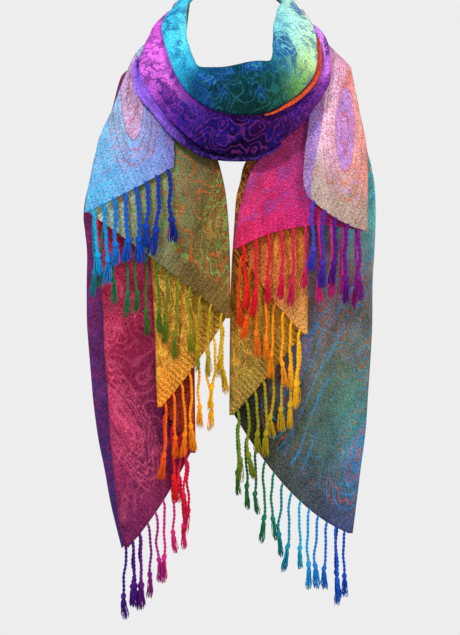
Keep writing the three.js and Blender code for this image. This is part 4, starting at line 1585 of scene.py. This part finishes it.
    def build(self, slots: dict[str, str]) -> None:
        """Args:
            slots: Material slot of each CAD node; not used.
        """
        cords = TwistedCord(WARP).material(f"{self.side.value} end twisted cord")
        for index, stretch in enumerate(self.stretches):
            material = WovenCloth(stretch.dye).material(stretch.name.replace("_", " ") + " cloth")
            grid = self.grid(stretch)
            made = cloth_object(stretch.name + "_cloth", grid, material)
            declare(made, stretch.name)
            node = stretch.name.replace("fold", "fringe")
            fringe = self.fringe(stretch, index, cords)
            declare(fringe, node)
        LOG.info("%s end: %d stretches, each with its fringe", self.side.value, len(self.stretches))


@dataclass(frozen=True)
class NeckWrap:
    """The cloth wound round the neck.

    Attributes:
        rings: Its stretches.
        wall: Thickness of the two layers that lie together, in mm.
    """

    rings: tuple[Ring, ...]
    wall: float = 1.2

    def build(self, slots: dict[str, str]) -> None:
        """Args:
            slots: Material slot of each CAD node; not used.
        """
        for ring in self.rings:
            grid = ring.grid()
            material = NeckCloth(LOOP_DYES_AND_SHADE[ring.name]).material(ring.name.replace("_", " ") + " cloth")
            made = cloth_object(ring.name + "_cloth", grid, material, self.wall, ring.closed)
            declare(made, ring.name)
        LOG.info("neck: %d stretches of cloth", len(self.rings))


@dataclass(frozen=True)
class Lamp:
    """A soft light.

    Attributes:
        name: Its name.
        place: Where it stands, in metres.
        size: Its width, in metres.
        power: Its power, in watts.
    """

    name: str
    place: tuple[float, float, float]
    size: float
    power: float


@dataclass(frozen=True)
class Studio:
    """A pale floor, a pale backdrop, soft lights and the camera of the picture.

    Attributes:
        lamps: Its lights.
        floor: Height of the floor, in metres.
        room: Brightness of the room in front, as a grey.
        backdrop: Brightness of the backdrop, as a grey.
    """

    lamps: tuple[Lamp, ...]
    floor: float = -1.25
    room: float = 0.25
    backdrop: float = 0.85

    def build(self) -> None:
        """Sets everything up."""
        self.add_floor()
        self.light_room()
        for lamp in self.lamps:
            self.add_lamp(lamp)
        self.add_camera()

    def add_floor(self) -> None:
        """Lays a plain pale floor."""
        bm = bmesh.new()
        bmesh.ops.create_grid(bm, x_segments=1, y_segments=1, size=4.0)
        bmesh.ops.translate(bm, verts=bm.verts, vec=(0.0, 0.0, self.floor))
        mesh = bpy.data.meshes.new("floor")
        bm.to_mesh(mesh)
        bm.free()
        material = bpy.data.materials.new("pale studio floor")
        material.use_nodes = True
        shader = material.node_tree.nodes["Principled BSDF"]
        shader.inputs["Base Color"].default_value = linear("#f0f0f0")
        shader.inputs["Roughness"].default_value = 0.9
        mesh.materials.append(material)
        floor = bpy.data.objects.new("floor", mesh)
        bpy.context.collection.objects.link(floor)

    def light_room(self) -> None:
        """Makes the world a pale backdrop behind the shawl and a dimmer room in front of it."""
        world = bpy.data.worlds.new("studio")
        bpy.context.scene.world = world
        world.use_nodes = True
        g = Graph(world.node_tree)
        _, back, _ = g.add("SeparateXYZ", g.add("TexCoord").node.outputs["Generated"]).node.outputs
        # None of the backdrop where the way points 0.1 or more to the front, all of it from 0.3 to the back.
        behind = g.add("Math:MULTIPLY_ADD", back, 2.5, 0.25, use_clamp=True)
        grey = g.add("Math:MULTIPLY_ADD", behind, self.backdrop - self.room, self.room)
        g.add("OutputWorld", g.add("Background", (1.0, 1.0, 1.0, 1.0), grey))

    def add_lamp(self, lamp: Lamp) -> None:
        """Adds a soft light that looks at the shawl.

        Args:
            lamp: The light.
        """
        data = bpy.data.lights.new(lamp.name, "AREA")
        data.size = lamp.size
        data.energy = lamp.power
        made = bpy.data.objects.new(lamp.name, data)
        made.location = lamp.place
        way = Vector(LIT_M) - Vector(lamp.place)
        made.rotation_euler = way.to_track_quat("-Z", "Y").to_euler()
        bpy.context.collection.objects.link(made)

    def add_camera(self) -> None:
        """Sets the camera of the picture; the plain view transform shows the dyes as they are."""
        data = bpy.data.cameras.new("camera")
        data.sensor_fit = "VERTICAL"
        data.sensor_height = SENSOR_MM
        data.lens = SENSOR_MM * EYE_FAR_MM / (PICTURE_HEIGHT * MM_PER_PIXEL)
        camera = bpy.data.objects.new("camera", data)
        camera.location = (EYE_X_MM * MM, (EYE_PLANE_MM - EYE_FAR_MM) * MM, EYE_Z_MM * MM)
        camera.rotation_euler = (math.pi / 2, 0, 0)
        bpy.context.collection.objects.link(camera)
        bpy.context.scene.camera = camera
        bpy.context.scene.view_settings.view_transform = "Standard"


# Where every lamp points, in metres.
LIT_M: Triple = (0.0, 0.0, -0.2)
STUDIO = Studio((
    Lamp("key softbox", (-1.1, -1.9, 1.7), 0.5, 52),
    Lamp("right softbox", (1.8, -1.1, 0.7), 0.7, 24),
    Lamp("front fill", (0.3, -2.8, 0.2), 1.2, 13),
))


def main() -> None:
    """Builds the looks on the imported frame."""
    logging.basicConfig(level=logging.INFO, format="%(message)s")
    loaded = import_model()
    slots = {p["node"]: p["material_slot"] for p in loaded["record"]["subparts"]}
    NeckWrap(RINGS).build(slots)
    for side in Side:
        HangingEnd(side, FOLDS[side], STRETCHES[side]).build(slots)
    STUDIO.build()
    LOG.info("studio: floor, room, %d lamps and camera", len(STUDIO.lamps))


if __name__ == "__main__":
    main()
